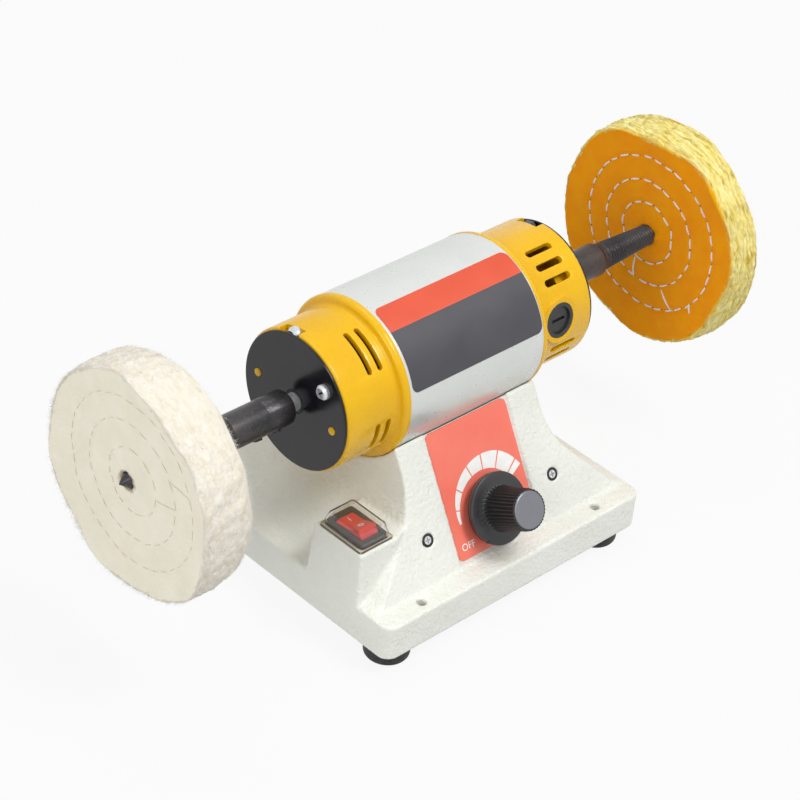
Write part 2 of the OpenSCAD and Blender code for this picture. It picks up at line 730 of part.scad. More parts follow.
module switch_gasket() color([0.45, 0.32, 0.22]) at_switch() difference() {
    round_block(gasket_w, gasket_l, 1.5, switch_z, switch_z + gasket_t);
    translate([-body_w / 2 - 0.1, -body_l / 2 - 0.1, switch_z - eps]) cube([body_w + 0.2, body_l + 0.2, 2]);
}

// The clear cover goes straight up past the bezel and then leans in to a flat top
module switch_cover() color([0.85, 0.85, 0.85, 0.35]) at_switch() difference() {
    cover_shape(0);
    cover_shape(cover_wall);
}

module cover_shape(inset) {
    w = bezel_w + 2 * (cover_gap + cover_wall - inset);
    l = bezel_l + 2 * (cover_gap + cover_wall - inset);
    r = cover_r - inset;
    z0 = bezel_z - (inset > 0 ? eps : 0);
    z1 = bezel_z + cover_h - inset;
    top_w = w - 2 * cover_lean[0];
    top_l = l - 2 * cover_lean[1];
    hull() {
        round_block(w, l, r, z0, bezel_z + bezel_t + 0.4);
        round_block(top_w, top_l, r, z1 - cover_bevel - 0.1, z1 - cover_bevel);
        round_block(top_w - 2 * cover_bevel, top_l - 2 * cover_bevel, r - cover_bevel, z1 - 0.1, z1);
    }
}

// Motor

module motor_barrel() color([0.85, 0.86, 0.86]) difference() {
    turn() ring_2d(barrel_r - barrel_wall, barrel_r, -barrel_end, barrel_end);
    for (x = mount_screws) translate([x, 0, axis_h - barrel_r - 1]) cylinder(h = barrel_wall + 2, r = mount_screw_d / 2 + 0.1);
}

// A thin sticker on the barrel with rounded corners
module barrel_label() color([0.36, 0.37, 0.4]) {
    mid = (label_low + label_high) / 2;
    half = barrel_r * sin((label_high - label_low) / 2);
    intersection() {
        turn() ring_2d(barrel_r + fit, barrel_r + 0.25, label_x0, label_x1);
        spoke(mid) translate([(label_x0 + label_x1) / 2, -barrel_r / 2, 0]) rotate([90, 0, 0])
            linear_extrude(barrel_r) round_rect(label_x1 - label_x0, 2 * half, 3);
    }
}

// Shell of an end housing, drawn for the right side; end_x is its outer face
module housing_shell(end_x) {
    flange_x = barrel_end + flange_l;
    end_round = 1.2;
    difference() {
        union() {
            turn() ring_2d(flange_r - 6, spigot_r, barrel_end - spigot_l, barrel_end + 1);
            turn() difference() {
                union() {
                    ring_2d(0, flange_r - flange_round, barrel_end, flange_x);
                    ring_2d(0, flange_r, barrel_end, flange_x - flange_round);
                    intersection() {
                        translate([flange_r - flange_round, flange_x - flange_round]) circle(flange_round, $fn = 48);
                        ring_2d(0, flange_r + 1, barrel_end, flange_x + 1);
                    }
                    ring_2d(0, drum_r + cove_r, barrel_end, flange_x + cove_r);
                    ring_2d(0, drum_r - end_round, barrel_end, end_x);
                    ring_2d(0, drum_r, barrel_end, end_x - end_round);
                    translate([drum_r - end_round, end_x - end_round]) circle(end_round, $fn = 32);
                }
                translate([drum_r + cove_r, flange_x + cove_r]) circle(cove_r, $fn = 48);
            }
        }
        turn() ring_2d(0, drum_bore_r, barrel_end - spigot_l - 1, end_x - end_wall);
        turn() ring_2d(0, flange_r - barrel_wall - 4, barrel_end - spigot_l - 1, flange_x);
    }
}

// Inner bosses, holes and the bolt pockets that both end housings share
module end_housing(end_x, pocket) {
    seat_x = end_x - end_wall - bearing_w - 0.1;
    pocket_wall = 1.4;
    difference() {
        union() {
            housing_shell(end_x);
            turn() ring_2d(seat_r, seat_r + 2.6, seat_x - 0.6, end_x - end_wall + 0.5);
            turn() ring_2d(shaft_d / 2 + 1.4, seat_r + 2.6, end_x - end_wall, end_x);
            intersection() {
                union() {
                    for (a = [notch_angle, notch_angle + 180]) {
                        axial_pin(a, tie_bolt_r, barrel_end, end_x - 0.5, tie_bolt_d / 2 + 2.4);
                        spoke(a) translate([end_x - pocket - 2, -drum_r, -notch_half - pocket_wall])
                            cube([pocket + 1.5, drum_r - notch_in + pocket_wall, 2 * (notch_half + pocket_wall)]);
                    }
                    for (a = plate_screw_angles) axial_pin(a, plate_screw_r, end_x - 12, end_x - 0.5, plate_screw_d);
                }
                turn() ring_2d(0, drum_r - 0.5, 0, end_x);
            }
        }
        for (a = [notch_angle, notch_angle + 180]) {
            axial_pin(a, tie_bolt_r, barrel_end - 5, end_x + 1, tie_bolt_d / 2 + 0.15);
            spoke(a) translate([end_x - pocket, -drum_r - 3, -notch_half])
                cube([pocket + 1, drum_r - notch_in + 3, 2 * notch_half]);
        }
        for (a = plate_screw_angles) axial_pin(a, plate_screw_r, end_x - 10, end_x + 1, plate_screw_d / 2 + fit);
        turn() ring_2d(0, shaft_d / 2 + 1.4, end_x - end_wall - 1, end_x + 1);
    }
}

// Slots that run round the drum, for the left housing
module round_slot(x, a, b) {
    w = left_slot_w;
    r0 = drum_bore_r - 3;
    sector(a, b) ring_2d(r0, drum_r + 2, x - w / 2, x + w / 2);
    for (end = [a, b]) radial_pin(end, x, r0, drum_r + 2, w / 2 + 0.03);
}

// Slots that run along the drum, for the right housing
module long_slot(a, x0, x1) {
    w = right_slot_w;
    r0 = drum_bore_r - 3;
    spoke(a) translate([x0, -drum_r - 2, -w / 2]) cube([x1 - x0, drum_r + 2 - r0, w]);
    for (x = [x0, x1]) radial_pin(a, x, r0, drum_r + 2, w / 2 + 0.03);
}

module left_end_housing() color(yellow) mirror([1, 0, 0]) difference() {
    end_housing(left_x, left_notch);
    for (x = left_slot_x, s = left_slots, half = [0, 180]) round_slot(barrel_end + x, s[0] + half, s[1] + half);
}

module right_end_housing() color(yellow) difference() {
    union() {
        end_housing(right_x, right_notch);
        for (half = [0, 180]) radial_pin(brush_angle + half, brush_at, drum_bore_r - 4, drum_r + 0.05, brush_pad_r);
    }
    for (a = right_slots, half = [0, 180])
        long_slot(a + half, barrel_end + right_slot_x[0], barrel_end + right_slot_x[1]);
    for (half = [0, 180]) radial_pin(brush_angle + half, brush_at, 15, drum_r + 3, brush_flange_r + fit);
}

module end_plate(end_x) {
    difference() {
        turn() ring_2d(shaft_d / 2 + 1.2, plate_d / 2, end_x, end_x + plate_t);
        for (a = plate_screw_angles) axial_pin(a, plate_screw_r, end_x - 1, end_x + plate_t + 1, plate_screw_d / 2 + 0.15);
        for (a = plate_hole_angles) axial_pin(a, plate_screw_r + 0.5, end_x - 1, end_x + plate_t + 1, 1.9);
    }
}

module left_end_plate() color(black) mirror([1, 0, 0]) end_plate(left_x);

module right_end_plate() color(black) end_plate(right_x);

module plate_screw(a, end_x) {
    spoke(a) translate([end_x + plate_t, -plate_screw_r, 0]) rotate([0, 90, 0]) {
        pan_head(plate_screw_d * 0.8, 2.5);
        translate([0, 0, -9]) cylinder(h = 9.2, r = plate_screw_d / 2);
    }
}

module end_plate_screws() color(zinc) for (a = plate_screw_angles) {
    mirror([1, 0, 0]) plate_screw(a, left_x);
    plate_screw(a, right_x);
}

module tie_bolts() color(zinc) for (a = [notch_angle, notch_angle + 180]) {
    head_x = -left_x + left_notch;
    axial_pin(a, tie_bolt_r, head_x - 0.2, right_x - right_notch + tie_nut_h + 1, tie_bolt_d / 2);
    spoke(a) translate([head_x, -tie_bolt_r, 0]) rotate([0, -90, 0]) pan_head(tie_head_r, tie_head_h);
}

module tie_bolt_nuts() color(zinc) for (a = [notch_angle, notch_angle + 180])
    spoke(a) translate([right_x - right_notch, -tie_bolt_r, 0]) rotate([0, 90, 0]) difference() {
        cylinder(h = tie_nut_h, r = tie_bolt_d - 0.1, $fn = 6);
        translate([0, 0, -eps]) cylinder(h = tie_nut_h + 2 * eps, r = tie_bolt_d / 2 + fit);
    }

// A shielded ball bearing with a groove in each face between its rings
module bearing(end_x) {
    x1 = end_x - end_wall;
    x0 = x1 - bearing_w;
    inner = shaft_d / 2 + run;
    outer = bearing_d / 2;
    third = (outer - inner) / 3;
    turn() difference() {
        ring_2d(inner, outer, x0, x1);
        ring_2d(inner + third, outer - third, x0 - 1, x0 + 0.5);
        ring_2d(inner + third, outer - third, x1 - 0.5, x1 + 1);
    }
}

module left_bearing() color(steel) mirror([1, 0, 0]) bearing(left_x);

module right_bearing() color(steel) bearing(right_x);

// Field core: a ring with two pole shoes, and holes for the tie bolts and the mount screws
module field_core() color(steel) difference() {
    bore_r = field_bore / 2;
    union() {
        turn() ring_2d(yoke_r, core_r, -stack_half, stack_half);
        for (a = [notch_angle, notch_angle + 180]) {
            sector(a - pole_half, a + pole_half) ring_2d(bore_r, yoke_r + 1, -stack_half, stack_half);
            sector(a - shoe_half, a + shoe_half) ring_2d(bore_r, bore_r + shoe_t, -stack_half, stack_half);
        }
    }
    for (a = [notch_angle, notch_angle + 180])
        axial_pin(a, tie_bolt_r, -stack_half - 1, stack_half + 1, tie_bolt_d / 2 + 0.15);
    for (x = mount_screws) translate([x, 0, axis_h - core_r - 1]) cylinder(h = 5.4, r = mount_screw_d / 2 + fit);
}

module field_windings() color(copper) for (a = [notch_angle, notch_angle + 180]) {
    r0 = field_bore / 2 + shoe_t + 0.3;
    r1 = yoke_r - 0.3;
    for (side = [-1, 1]) {
        from = a + side * (pole_half + 10) - 9;
        sector(from, from + 18) ring_2d(r0, r1, -stack_half - 1, stack_half + 1);
        sector(a - pole_half - 19, a + pole_half + 19) translate([0, side * (stack_half + 1 + end_turn / 2)])
            ring_2d(r0 - 1, r1 - 2.9, -end_turn / 2, end_turn / 2);
        sector(from, from + 18) ring_2d(r0 - 1, r1, min(side * stack_half, side * (stack_half + end_turn)) + side,
            max(side * stack_half, side * (stack_half + end_turn)) + side);
    }
}

// Brush gear

module brush_holders() color([0.24, 0.24, 0.25]) for (half = [0, 180]) difference() {
    guide = brush + [3.2, 3.2];
    union() {
        radial_pin(brush_angle + half, brush_at, brush_flange_in, drum_r, brush_flange_r);
        spoke(brush_angle + half) translate([brush_at - guide[0] / 2, -brush_flange_in - 0.2, -guide[1] / 2])
            cube([guide[0], brush_flange_in - brush_r0 - 2, guide[1]]);
    }
    spoke(brush_angle + half) translate([brush_at - brush[0] / 2 - 0.1, -drum_r + 3, -brush[1] / 2 - 0.1])
        cube([brush[0] + 0.2, drum_r, brush[1] + 0.2]);
    radial_pin(brush_angle + half, brush_at, brush_cap_in, drum_r + 2, brush_cap_r + fit);
}

module carbon_brushes() color(black) for (half = [0, 180])
    spoke(brush_angle + half) translate([brush_at - brush[0] / 2, -brush_r1, -brush[1] / 2])
        cube([brush[0], brush_l, brush[1]]);

module brush_caps() color([0.2, 0.2, 0.21]) for (half = [0, 180]) difference() {
    slot = [brush_cap_r * 1.2, 1.2, 1.4];
    radial_pin(brush_angle + half, brush_at, brush_cap_in, brush_cap_out, brush_cap_r);
    spoke(brush_angle + half) translate([brush_at - slot[0] / 2, -brush_cap_out - 1, -slot[2] / 2])
        cube([slot[0], slot[1] + 1, slot[2]]);
}

// Coil spring behind each brush: one tube along a helix
function spring_centre(t, length) = [spring_r * cos(360 * spring_turns * t), spring_r * sin(360 * spring_turns * t),
    spring_wire_r + t * (length - 2 * spring_wire_r)];
function spring_ring(t, length) = [for (k = [0:5]) let (u = 60 * k)
    spring_centre(t, length) + spring_wire_r * cos(u) * [cos(360 * spring_turns * t), sin(360 * spring_turns * t), 0]
        + [0, 0, spring_wire_r * sin(u)]];

module coil_spring(length) {
    count = spring_turns * spring_steps;
    points = [for (i = [0:count], p = spring_ring(i / count, length)) p];
    sides = [for (i = [0:count - 1], k = [0:5]) let (a = 6 * i + k, b = 6 * i + (k + 1) % 6)
        each [[a, a + 6, b + 6], [a, b + 6, b]]];
    ends = [for (k = [1:4]) each [[0, k, k + 1], [6 * count, 6 * count + k + 1, 6 * count + k]]];
    polyhedron(points, concat(sides, ends));
}

module brush_springs() color(steel) for (half = [0, 180])
    spoke(brush_angle + half) translate([brush_at, -brush_r1 - 0.05, 0]) rotate([90, 0, 0])
        coil_spring(brush_cap_in - brush_r1 - 0.1);

// Rotor

module motor_shaft() color(zinc) {
    seat = left_x - end_wall - bearing_w - 1;
    seat_right = right_x - end_wall - bearing_w - 1;
    turn() ring_2d(0, shaft_d / 2, -shaft_end_x, shaft_end_x);
    turn() ring_2d(0, shaft_mid_r, -seat, seat_right);
}

module armature_core() color(steel) turn_x(-stack_half, stack_half) difference() {
    circle(armature_d / 2);
    circle(shaft_mid_r + fit);
    armature_slots_2d(0);
}

// Extrudes an outline of the plane across the spindle axis from x0 to x1
module turn_x(x0, x1) {
    translate([x0, 0, axis_h]) rotate([90, 0, 90]) linear_extrude(x1 - x0) children();
}

module armature_slots_2d(inset) {
    for (i = [0:armature_slots - 1]) rotate(i * 360 / armature_slots) {
        translate([armature_d / 2 - 5.2, 0]) circle(2.6 - inset, $fn = 24);
        translate([armature_d / 2 - 5.2, -0.8 + inset]) square([6 - 3 * inset, 1.6 - 2 * inset]);
    }
}

module armature_windings() color(copper) {
    turn_x(-stack_half - 1, stack_half + 1) armature_slots_2d(0.2);
    for (side = [0, 1]) mirror([side, 0, 0]) turn() difference() {
        union() {
            ring_2d(shaft_mid_r + 2, armature_d / 2 - 3.4, stack_half + 0.3, stack_half + 5);
            translate([shaft_mid_r + 6, stack_half + 5]) circle(4, $fn = 32);
        }
        ring_2d(0, shaft_mid_r + 0.3, 0, stack_half + 12);
    }
}

module commutator() color(copper) difference() {
    union() {
        turn() ring_2d(shaft_mid_r + fit, commutator_d / 2, commutator_at, commutator_at + commutator_l);
        turn() ring_2d(shaft_mid_r + fit, commutator_d / 2 + 1.6, commutator_at - 2, commutator_at);
    }
    for (i = [0:commutator_bars - 1]) spoke(i * 360 / commutator_bars)
        translate([commutator_at - 3, -commutator_d / 2 - 3, -0.3]) cube([commutator_l + 4, 4, 0.6]);
}

module cooling_fan() color([0.2, 0.2, 0.22]) mirror([1, 0, 0]) {
    turn() difference() {
        union() {
            ring_2d(0, 9, fan_at, fan_at + fan_l);
            ring_2d(0, fan_d / 2, fan_at, fan_at + 1.6);
        }
        ring_2d(0, shaft_mid_r + fit, fan_at - 1, fan_at + fan_l + 1);
    }
    for (i = [0:fan_blades - 1]) spoke(i * 360 / fan_blades)
        translate([fan_at + 1, -fan_d / 2 + 0.3, -0.7]) cube([fan_l - 1, fan_d / 2 - 9, 1.4]);
}

// Collar and spindle, drawn for the right side
module collar(grub_a) {
    difference() {
        turn() difference() {
            ring_2d(shaft_d / 2 + fit, collar_d / 2, collar_x, collar_x + collar_l);
            translate([collar_d / 2, collar_x]) rotate(45) square(1.6, center = true);
        }
        radial_pin(grub_a, collar_grub_x, 1, collar_d / 2 + 1, grub_d / 2 + fit);
    }
}

function spindle_r(x) = (thread_d + (thread_end_d - thread_d) * (x - thread_x) / thread_l) / 2;

module spindle(grub_a) {
    root_r = collar_d / 2;
    shoulder_x = root_end_x + shoulder_l;
    difference() {
        turn() polygon([[0, root_x], [root_r, root_x], [root_r, root_end_x], [thread_d / 2, shoulder_x],
            [thread_d / 2, thread_x], [thread_end_d / 2, thread_end_x], [0, tip_x]]);
        turn() ring_2d(0, shaft_d / 2 + fit, root_x - 1, shaft_end_x + 0.5);
        radial_pin(grub_a, root_grub_x, 1, root_r + 1, grub_d / 2 + fit);
    }
}

module left_collar() color(black) mirror([1, 0, 0]) collar(left_grub_a);

module right_collar() color(black) collar(right_grub_a);

module left_spindle() color(black) mirror([1, 0, 0]) spindle(left_grub_a);

module right_spindle() color(black) spindle(right_grub_a);

module grub(a, x) {
    difference() {
        radial_pin(a, x, shaft_d / 2 + 0.1, collar_d / 2 + grub_out, grub_d / 2);
        spoke(a) translate([x, -collar_d / 2 + 1.4, 0]) rotate([90, 0, 0]) cylinder(h = 3, r = grub_d / 4, $fn = 6);
    }
}

module grub_screws() color(black) for (x = [collar_grub_x, root_grub_x]) {
    mirror([1, 0, 0]) grub(left_grub_a, x);
    grub(right_grub_a, x);
}

// Buffing wheels: a stack of stitched cloth plies, flat at the hub and spread at the rim
module buffing_wheel(rim_t) {
    r = wheel_d / 2;
    half_hub = wheel_hub_t / 2;
    half_rim = rim_t / 2;
    ply = rim_t / wheel_plies;
    spread_r = r * 0.62;
    bore0 = spindle_r(wheel_x - half_rim) + 0.1;
    bore1 = spindle_r(min(wheel_x + half_rim, thread_end_x)) + 0.1;
    turn() difference() {
        union() {
            polygon([[0, wheel_x - half_hub], [spread_r, wheel_x - half_hub], [r - 2, wheel_x - half_rim],
                [r - 2, wheel_x + half_rim], [spread_r, wheel_x + half_hub], [0, wheel_x + half_hub]]);
            for (i = [0:wheel_plies - 1]) translate([r - 2, wheel_x - half_rim + ply * (i + 0.5)]) scale(ply / 4)
                polygon([[-1, -2], [0, -2], [8 / ply * 0.7, -1.5], [8 / ply, 0], [8 / ply * 0.7, 1.5], [0, 2], [-1, 2]]);
        }
        polygon([[0, wheel_x - half_rim - 1], [bore0, wheel_x - half_rim - 1], [bore0, wheel_x - half_rim],
            [bore1, wheel_x + half_rim], [bore1, wheel_x + half_rim + 1], [0, wheel_x + half_rim + 1]]);
    }
}

module white_buffing_wheel() color([0.93, 0.9, 0.82]) mirror([1, 0, 0]) buffing_wheel(white_rim_t);

module yellow_buffing_wheel() color([0.9, 0.66, 0.15]) buffing_wheel(yellow_rim_t);

base_casting();
bottom_cover();
rubber_feet();
foot_screws();
cord_gland();
gland_nut();
motor_mount_screws();
panel_plate();
board_screws();
board_nuts();
control_board();
board_capacitor();
board_choke();
board_triac();
heat_sink();
terminal_block();
potentiometer_body();
potentiometer_nut();
potentiometer_shaft();
speed_knob();
knob_cap();
switch_housing();
switch_rocker();
switch_terminals();
switch_gasket();
switch_cover();
motor_barrel();
barrel_label();
left_end_housing();
right_end_housing();
left_end_plate();
right_end_plate();
end_plate_screws();
tie_bolts();
tie_bolt_nuts();
left_bearing();
right_bearing();
field_core();
field_windings();
brush_holders();
carbon_brushes();
brush_springs();
brush_caps();
motor_shaft();
armature_core();
armature_windings();
commutator();
cooling_fan();
left_collar();
right_collar();
left_spindle();
right_spindle();
grub_screws();
white_buffing_wheel();
yellow_buffing_wheel();
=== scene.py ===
# The look of the bench buffer: finishes, cloth wheels, threads, print, camera and studio
import json
import math

import bpy
import numpy as np
from mathutils import Matrix, Vector


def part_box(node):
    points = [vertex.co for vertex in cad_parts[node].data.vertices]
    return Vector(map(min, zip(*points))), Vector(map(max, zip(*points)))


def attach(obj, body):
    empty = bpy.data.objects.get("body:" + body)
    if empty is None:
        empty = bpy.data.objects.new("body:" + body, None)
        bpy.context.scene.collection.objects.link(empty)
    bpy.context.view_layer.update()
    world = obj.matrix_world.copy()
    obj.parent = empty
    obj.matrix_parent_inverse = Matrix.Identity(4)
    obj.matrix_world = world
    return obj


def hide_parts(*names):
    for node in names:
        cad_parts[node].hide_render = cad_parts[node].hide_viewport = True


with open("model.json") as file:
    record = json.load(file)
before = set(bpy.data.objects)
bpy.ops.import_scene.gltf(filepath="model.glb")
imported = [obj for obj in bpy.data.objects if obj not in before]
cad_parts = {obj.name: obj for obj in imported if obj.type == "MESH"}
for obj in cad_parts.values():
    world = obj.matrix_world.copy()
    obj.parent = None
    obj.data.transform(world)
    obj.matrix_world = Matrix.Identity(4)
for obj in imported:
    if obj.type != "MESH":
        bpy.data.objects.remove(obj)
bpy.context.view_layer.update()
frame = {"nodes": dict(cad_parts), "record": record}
nodes = frame["nodes"]
record = frame["record"]

# Sizes are in millimetres, but in metres inside materials, for the camera and in the studio
MM = 0.001
SIDES = ((-1, "left"), (1, "right"))
# The spindle axis runs along x at this height
AXIS_Z = 97.0
# The front face: where it meets the plinth, its lean from upright, and how far up it the knob's axis lies
FACE_Y = -59.6
FACE_Z = 26.0
TILT = math.radians(29.6)
KNOB_S = 17.8
# Most values of a noise texture lie between these
NOISE_SPAN = (0.3, 0.7)


def srgb(r, g, b):
    """A colour as read from a screen, from 0 to 255, in linear values."""
    return tuple(((c / 255 + 0.055) / 1.055) ** 2.4 for c in (r, g, b))


def rgba(colour):
    """A colour with full opacity, or a socket as it is."""
    return colour if isinstance(colour, bpy.types.NodeSocket) else (*colour, 1.0)


def add_node(tree, kind, inputs=None, **props):
    """A new node: sockets among its inputs are linked and plain values are set."""
    made = tree.nodes.new("ShaderNode" + kind)
    for key, value in props.items():
        setattr(made, key, value)
    for key, value in (inputs or {}).items():
        if isinstance(value, bpy.types.NodeSocket):
            tree.links.new(value, made.inputs[key])
        else:
            made.inputs[key].default_value = value
    return made


def add_object(name, data):
    obj = bpy.data.objects.new(name, data)
    bpy.context.scene.collection.objects.link(obj)
    return obj


# Materials

class Shader:
    """A material under construction around one surface shader, in object coordinates."""

    def __init__(self, name, colour, rough, metal=0.0, **more):
        self.mat = bpy.data.materials.new(name)
        self.mat.use_nodes = True
        self.tree = self.mat.node_tree
        self.surface = self.tree.nodes["Principled BSDF"]
        self.set("Base Color", rgba(colour))
        self.set("Roughness", rough)
        self.set("Metallic", metal)
        for key, value in more.items():
            self.set(key.replace("_", " "), value)
        self.place = self.add("TexCoord").outputs["Object"]
        self.normal = None

    def set(self, key, value):
        if isinstance(value, bpy.types.NodeSocket):
            self.tree.links.new(value, self.surface.inputs[key])
        else:
            self.surface.inputs[key].default_value = value

    def add(self, kind, inputs=None, **props):
        return add_node(self.tree, kind, inputs, **props)

    def stretched(self, factors):
        return self.add("VectorMath", {0: self.place, 1: factors}, operation="MULTIPLY").outputs[0]

    def noise(self, scale, detail, rough=0.5, place=None, distortion=0.0):
        made = self.add("TexNoise", {"Vector": place or self.place, "Scale": scale, "Detail": detail,
                                     "Roughness": rough, "Distortion": distortion})
        return made.outputs["Fac"]

    def bands(self, scale, distortion=0.0):
        """Waves across the spindle axis."""
        made = self.add("TexWave", {"Vector": self.place, "Scale": scale, "Distortion": distortion,
                                    "Detail": 1.0, "Detail Scale": 2.0}, bands_direction="X")
        return made.outputs["Fac"]

    def ramp(self, value, stops):
        made = self.add("ValToRGB", {"Fac": value})
        while len(made.color_ramp.elements) < len(stops):
            made.color_ramp.elements.new(0.5)
        for element, (at, colour) in zip(made.color_ramp.elements, stops):
            element.position = at
            element.color = rgba(colour)
        return made.outputs["Color"]

    def between(self, value, low, high):
        """A colour between two others, by a noise."""
        return self.ramp(value, list(zip(NOISE_SPAN, (low, high))))

    def grey(self, value, low, high, start=NOISE_SPAN[0], end=NOISE_SPAN[1]):
        """A number that goes from low to high while the value goes from start to end."""
        made = self.add("MapRange", {"Value": value, "From Min": start, "From Max": end,
                                     "To Min": low, "To Max": high})
        return made.outputs["Result"]

    def math(self, operation, a, b=0.0):
        return self.add("Math", {0: a, 1: b}, operation=operation).outputs[0]

    def mix(self, share, a, b):
        return self.add("Mix", {0: share, 6: rgba(a), 7: rgba(b)}, data_type="RGBA").outputs[2]

    def bump(self, height, distance, strength):
        made = self.add("Bump", {"Height": height, "Distance": distance, "Strength": strength})
        if self.normal is not None:
            self.tree.links.new(self.normal, made.inputs["Normal"])
        self.normal = made.outputs["Normal"]
        self.set("Normal", self.normal)

    def axes(self):
        made = self.add("SeparateXYZ", {"Vector": self.place})
        return made.outputs["X"], made.outputs["Y"], made.outputs["Z"]

    def around(self):
        """The angle about the spindle axis, in degrees: 0 faces the front and 90 the top."""
        y, z = self.axes()[1:]
        up = self.math("SUBTRACT", z, AXIS_Z * MM)
        turned = self.math("ARCTAN2", up, self.math("MULTIPLY", y, -1.0))
        return self.math("MULTIPLY", turned, 180 / math.pi)


def cast_enamel():
    """Cream enamel that dried into fine wrinkles."""
    s = Shader("cast_enamel", srgb(234, 235, 226), 0.3, Coat_Weight=0.12, Coat_Roughness=0.16)
    s.set("Base Color", s.between(s.noise(38, 4), srgb(230, 231, 221), srgb(238, 239, 231)))
    s.set("Roughness", s.grey(s.noise(300, 2), 0.28, 0.38))
    s.bump(s.noise(600, 1.0, 0.4, distortion=0.6), 0.00065, 0.8)
    s.bump(s.noise(210, 1.0), 0.0007, 0.5)
    return s.mat


def housing_yellow():
    """Glossy moulded plastic."""
    s = Shader("housing_yellow", srgb(236, 184, 1), 0.26, Coat_Weight=0.1, Coat_Roughness=0.08,
               Specular_IOR_Level=0.3, Subsurface_Weight=0.05, Subsurface_Scale=0.003)
    s.set("Base Color", s.between(s.noise(45, 3), srgb(231, 178, 1), srgb(236, 185, 2)))
    s.set("Roughness", s.grey(s.noise(300, 3), 0.23, 0.31))
    s.bump(s.noise(500, 2), 0.00003, 0.4)
    return s.mat


def barrel_silver():
    """Silver paint on rolled sheet."""
    s = Shader("barrel_silver", srgb(214, 216, 212), 0.28, 0.35)
    s.set("Base Color", s.between(s.noise(70, 3), srgb(212, 214, 210), srgb(217, 219, 215)))
    s.set("Roughness", s.grey(s.noise(400, 3), 0.27, 0.34))
    s.bump(s.noise(90, 2), 0.00008, 0.4)
    return s.mat


def label_grey():
    """The label's dark panel and its red strip, parted at an angle about the spindle axis."""
    parting = 58.5
    s = Shader("label_grey", srgb(66, 65, 71), 0.42)
    share = s.math("GREATER_THAN", s.around(), parting)
    tone = s.noise(60, 3)
    dark = s.between(tone, srgb(62, 61, 67), srgb(70, 69, 75))
    red = s.between(tone, srgb(214, 77, 45), srgb(220, 84, 52))
    s.set("Base Color", s.mix(share, dark, red))
    s.set("Roughness", s.grey(s.noise(800, 2), 0.36, 0.5))
    s.bump(s.noise(2200, 2), 0.00002, 0.5)
    return s.mat


def panel_red():
    """Printed film, almost matt."""
    s = Shader("panel_red", srgb(246, 120, 100), 0.36, Coat_Weight=0.2, Coat_Roughness=0.25)
    s.set("Base Color", s.between(s.noise(70, 3), srgb(244, 116, 96), srgb(248, 125, 105)))
    s.set("Roughness", s.grey(s.noise(900, 2), 0.34, 0.46))
    s.bump(s.noise(2600, 2), 0.00002, 0.6)
    return s.mat


def print_white():
    """Thick white ink."""
    s = Shader("print_white", srgb(250, 248, 244), 0.45)
    s.set("Base Color", s.between(s.noise(300, 3), srgb(244, 241, 236), srgb(252, 251, 248)))
    s.bump(s.noise(2600, 2), 0.00002, 0.5)
    return s.mat


def plate_black():
    """Smooth black plastic with a faint blue tone."""
    s = Shader("plate_black", (0.009, 0.0085, 0.013), 0.18, Specular_IOR_Level=0.36)
    stops = [(0.3, (0.007, 0.0065, 0.01)), (0.75, (0.011, 0.0105, 0.016))]
    s.set("Base Color", s.ramp(s.noise(120, 4), stops))
    s.set("Roughness", s.grey(s.noise(260, 4), 0.15, 0.24))
    s.bump(s.noise(300, 2), 0.00003, 0.3)
    return s.mat


def oxide_black():
    """Oiled black steel with a brown bloom, painted glints and turning marks."""
    s = Shader("oxide_black", (0.024, 0.022, 0.024), 0.34, 0.6, Coat_Weight=0.15, Coat_Roughness=0.2)
    stops = [(0.35, (0.032, 0.03, 0.033)), (0.6, (0.058, 0.052, 0.053)), (0.78, (0.09, 0.066, 0.058))]
    tone = s.ramp(s.noise(55, 4, 0.6), stops)
    # Painted glints: light grey specks mixed into the colour stand in for highlights on the steel
    painted_glints = s.grey(s.noise(900, 2, 0.6), 0.0, 0.35, 0.54, 0.74)
    s.set("Base Color", s.mix(painted_glints, tone, (0.14, 0.135, 0.13)))
    turned = s.noise(160, 4, 0.6, s.stretched((12.0, 0.5, 0.5)))
    s.set("Roughness", s.grey(s.noise(1400, 3, 0.7), 0.24, 0.5))
    s.bump(turned, 0.00003, 0.6)
    s.bump(s.noise(1900, 2), 0.00005, 0.7)
    return s.mat


def worn(colour, wear):
    """A colour's darker and lighter tones."""
    return tuple(c * (1 - wear) for c in colour), tuple(min(1.0, c * (1 + wear)) for c in colour)


def metal(name, colour, rough, along=(1.0, 1.0, 1.0), wear=0.1, scale=300, metallic=0.95):
    """Plain metal with fine marks that run along one direction."""
    s = Shader(name, colour, rough, metallic)
    marks = s.noise(scale, 4, 0.6, s.stretched(along))
    s.set("Base Color", s.between(marks, *worn(colour, wear)))
    s.set("Roughness", s.grey(marks, rough * 0.75, rough * 1.3))
    s.bump(marks, 0.00003, 0.5)
    return s.mat


def plastic(name, colour, rough, grain=1200, depth=0.00004, wear=0.12, coat=0.0):
    """Moulded plastic or rubber with a fine grain and a slightly uneven tone."""
    s = Shader(name, colour, rough, Coat_Weight=coat, Coat_Roughness=0.12)
    s.set("Base Color", s.between(s.noise(90, 4), *worn(colour, wear)))
    s.set("Roughness", s.grey(s.noise(500, 3), rough * 0.85, min(1.0, rough * 1.2)))
    s.bump(s.noise(grain, 2), depth, 0.6)
    return s.mat


def winding_copper():
    """Enamelled wire lying side by side."""
    s = Shader("copper", (0.48, 0.17, 0.06), 0.3, 0.8, Coat_Weight=0.3, Coat_Roughness=0.15)
    wires = s.bands(420, distortion=0.6)
    s.set("Base Color", s.ramp(wires, [(0.1, (0.2, 0.06, 0.02)), (0.6, (0.55, 0.2, 0.07))]))
    s.bump(wires, 0.00015, 0.8)
    return s.mat


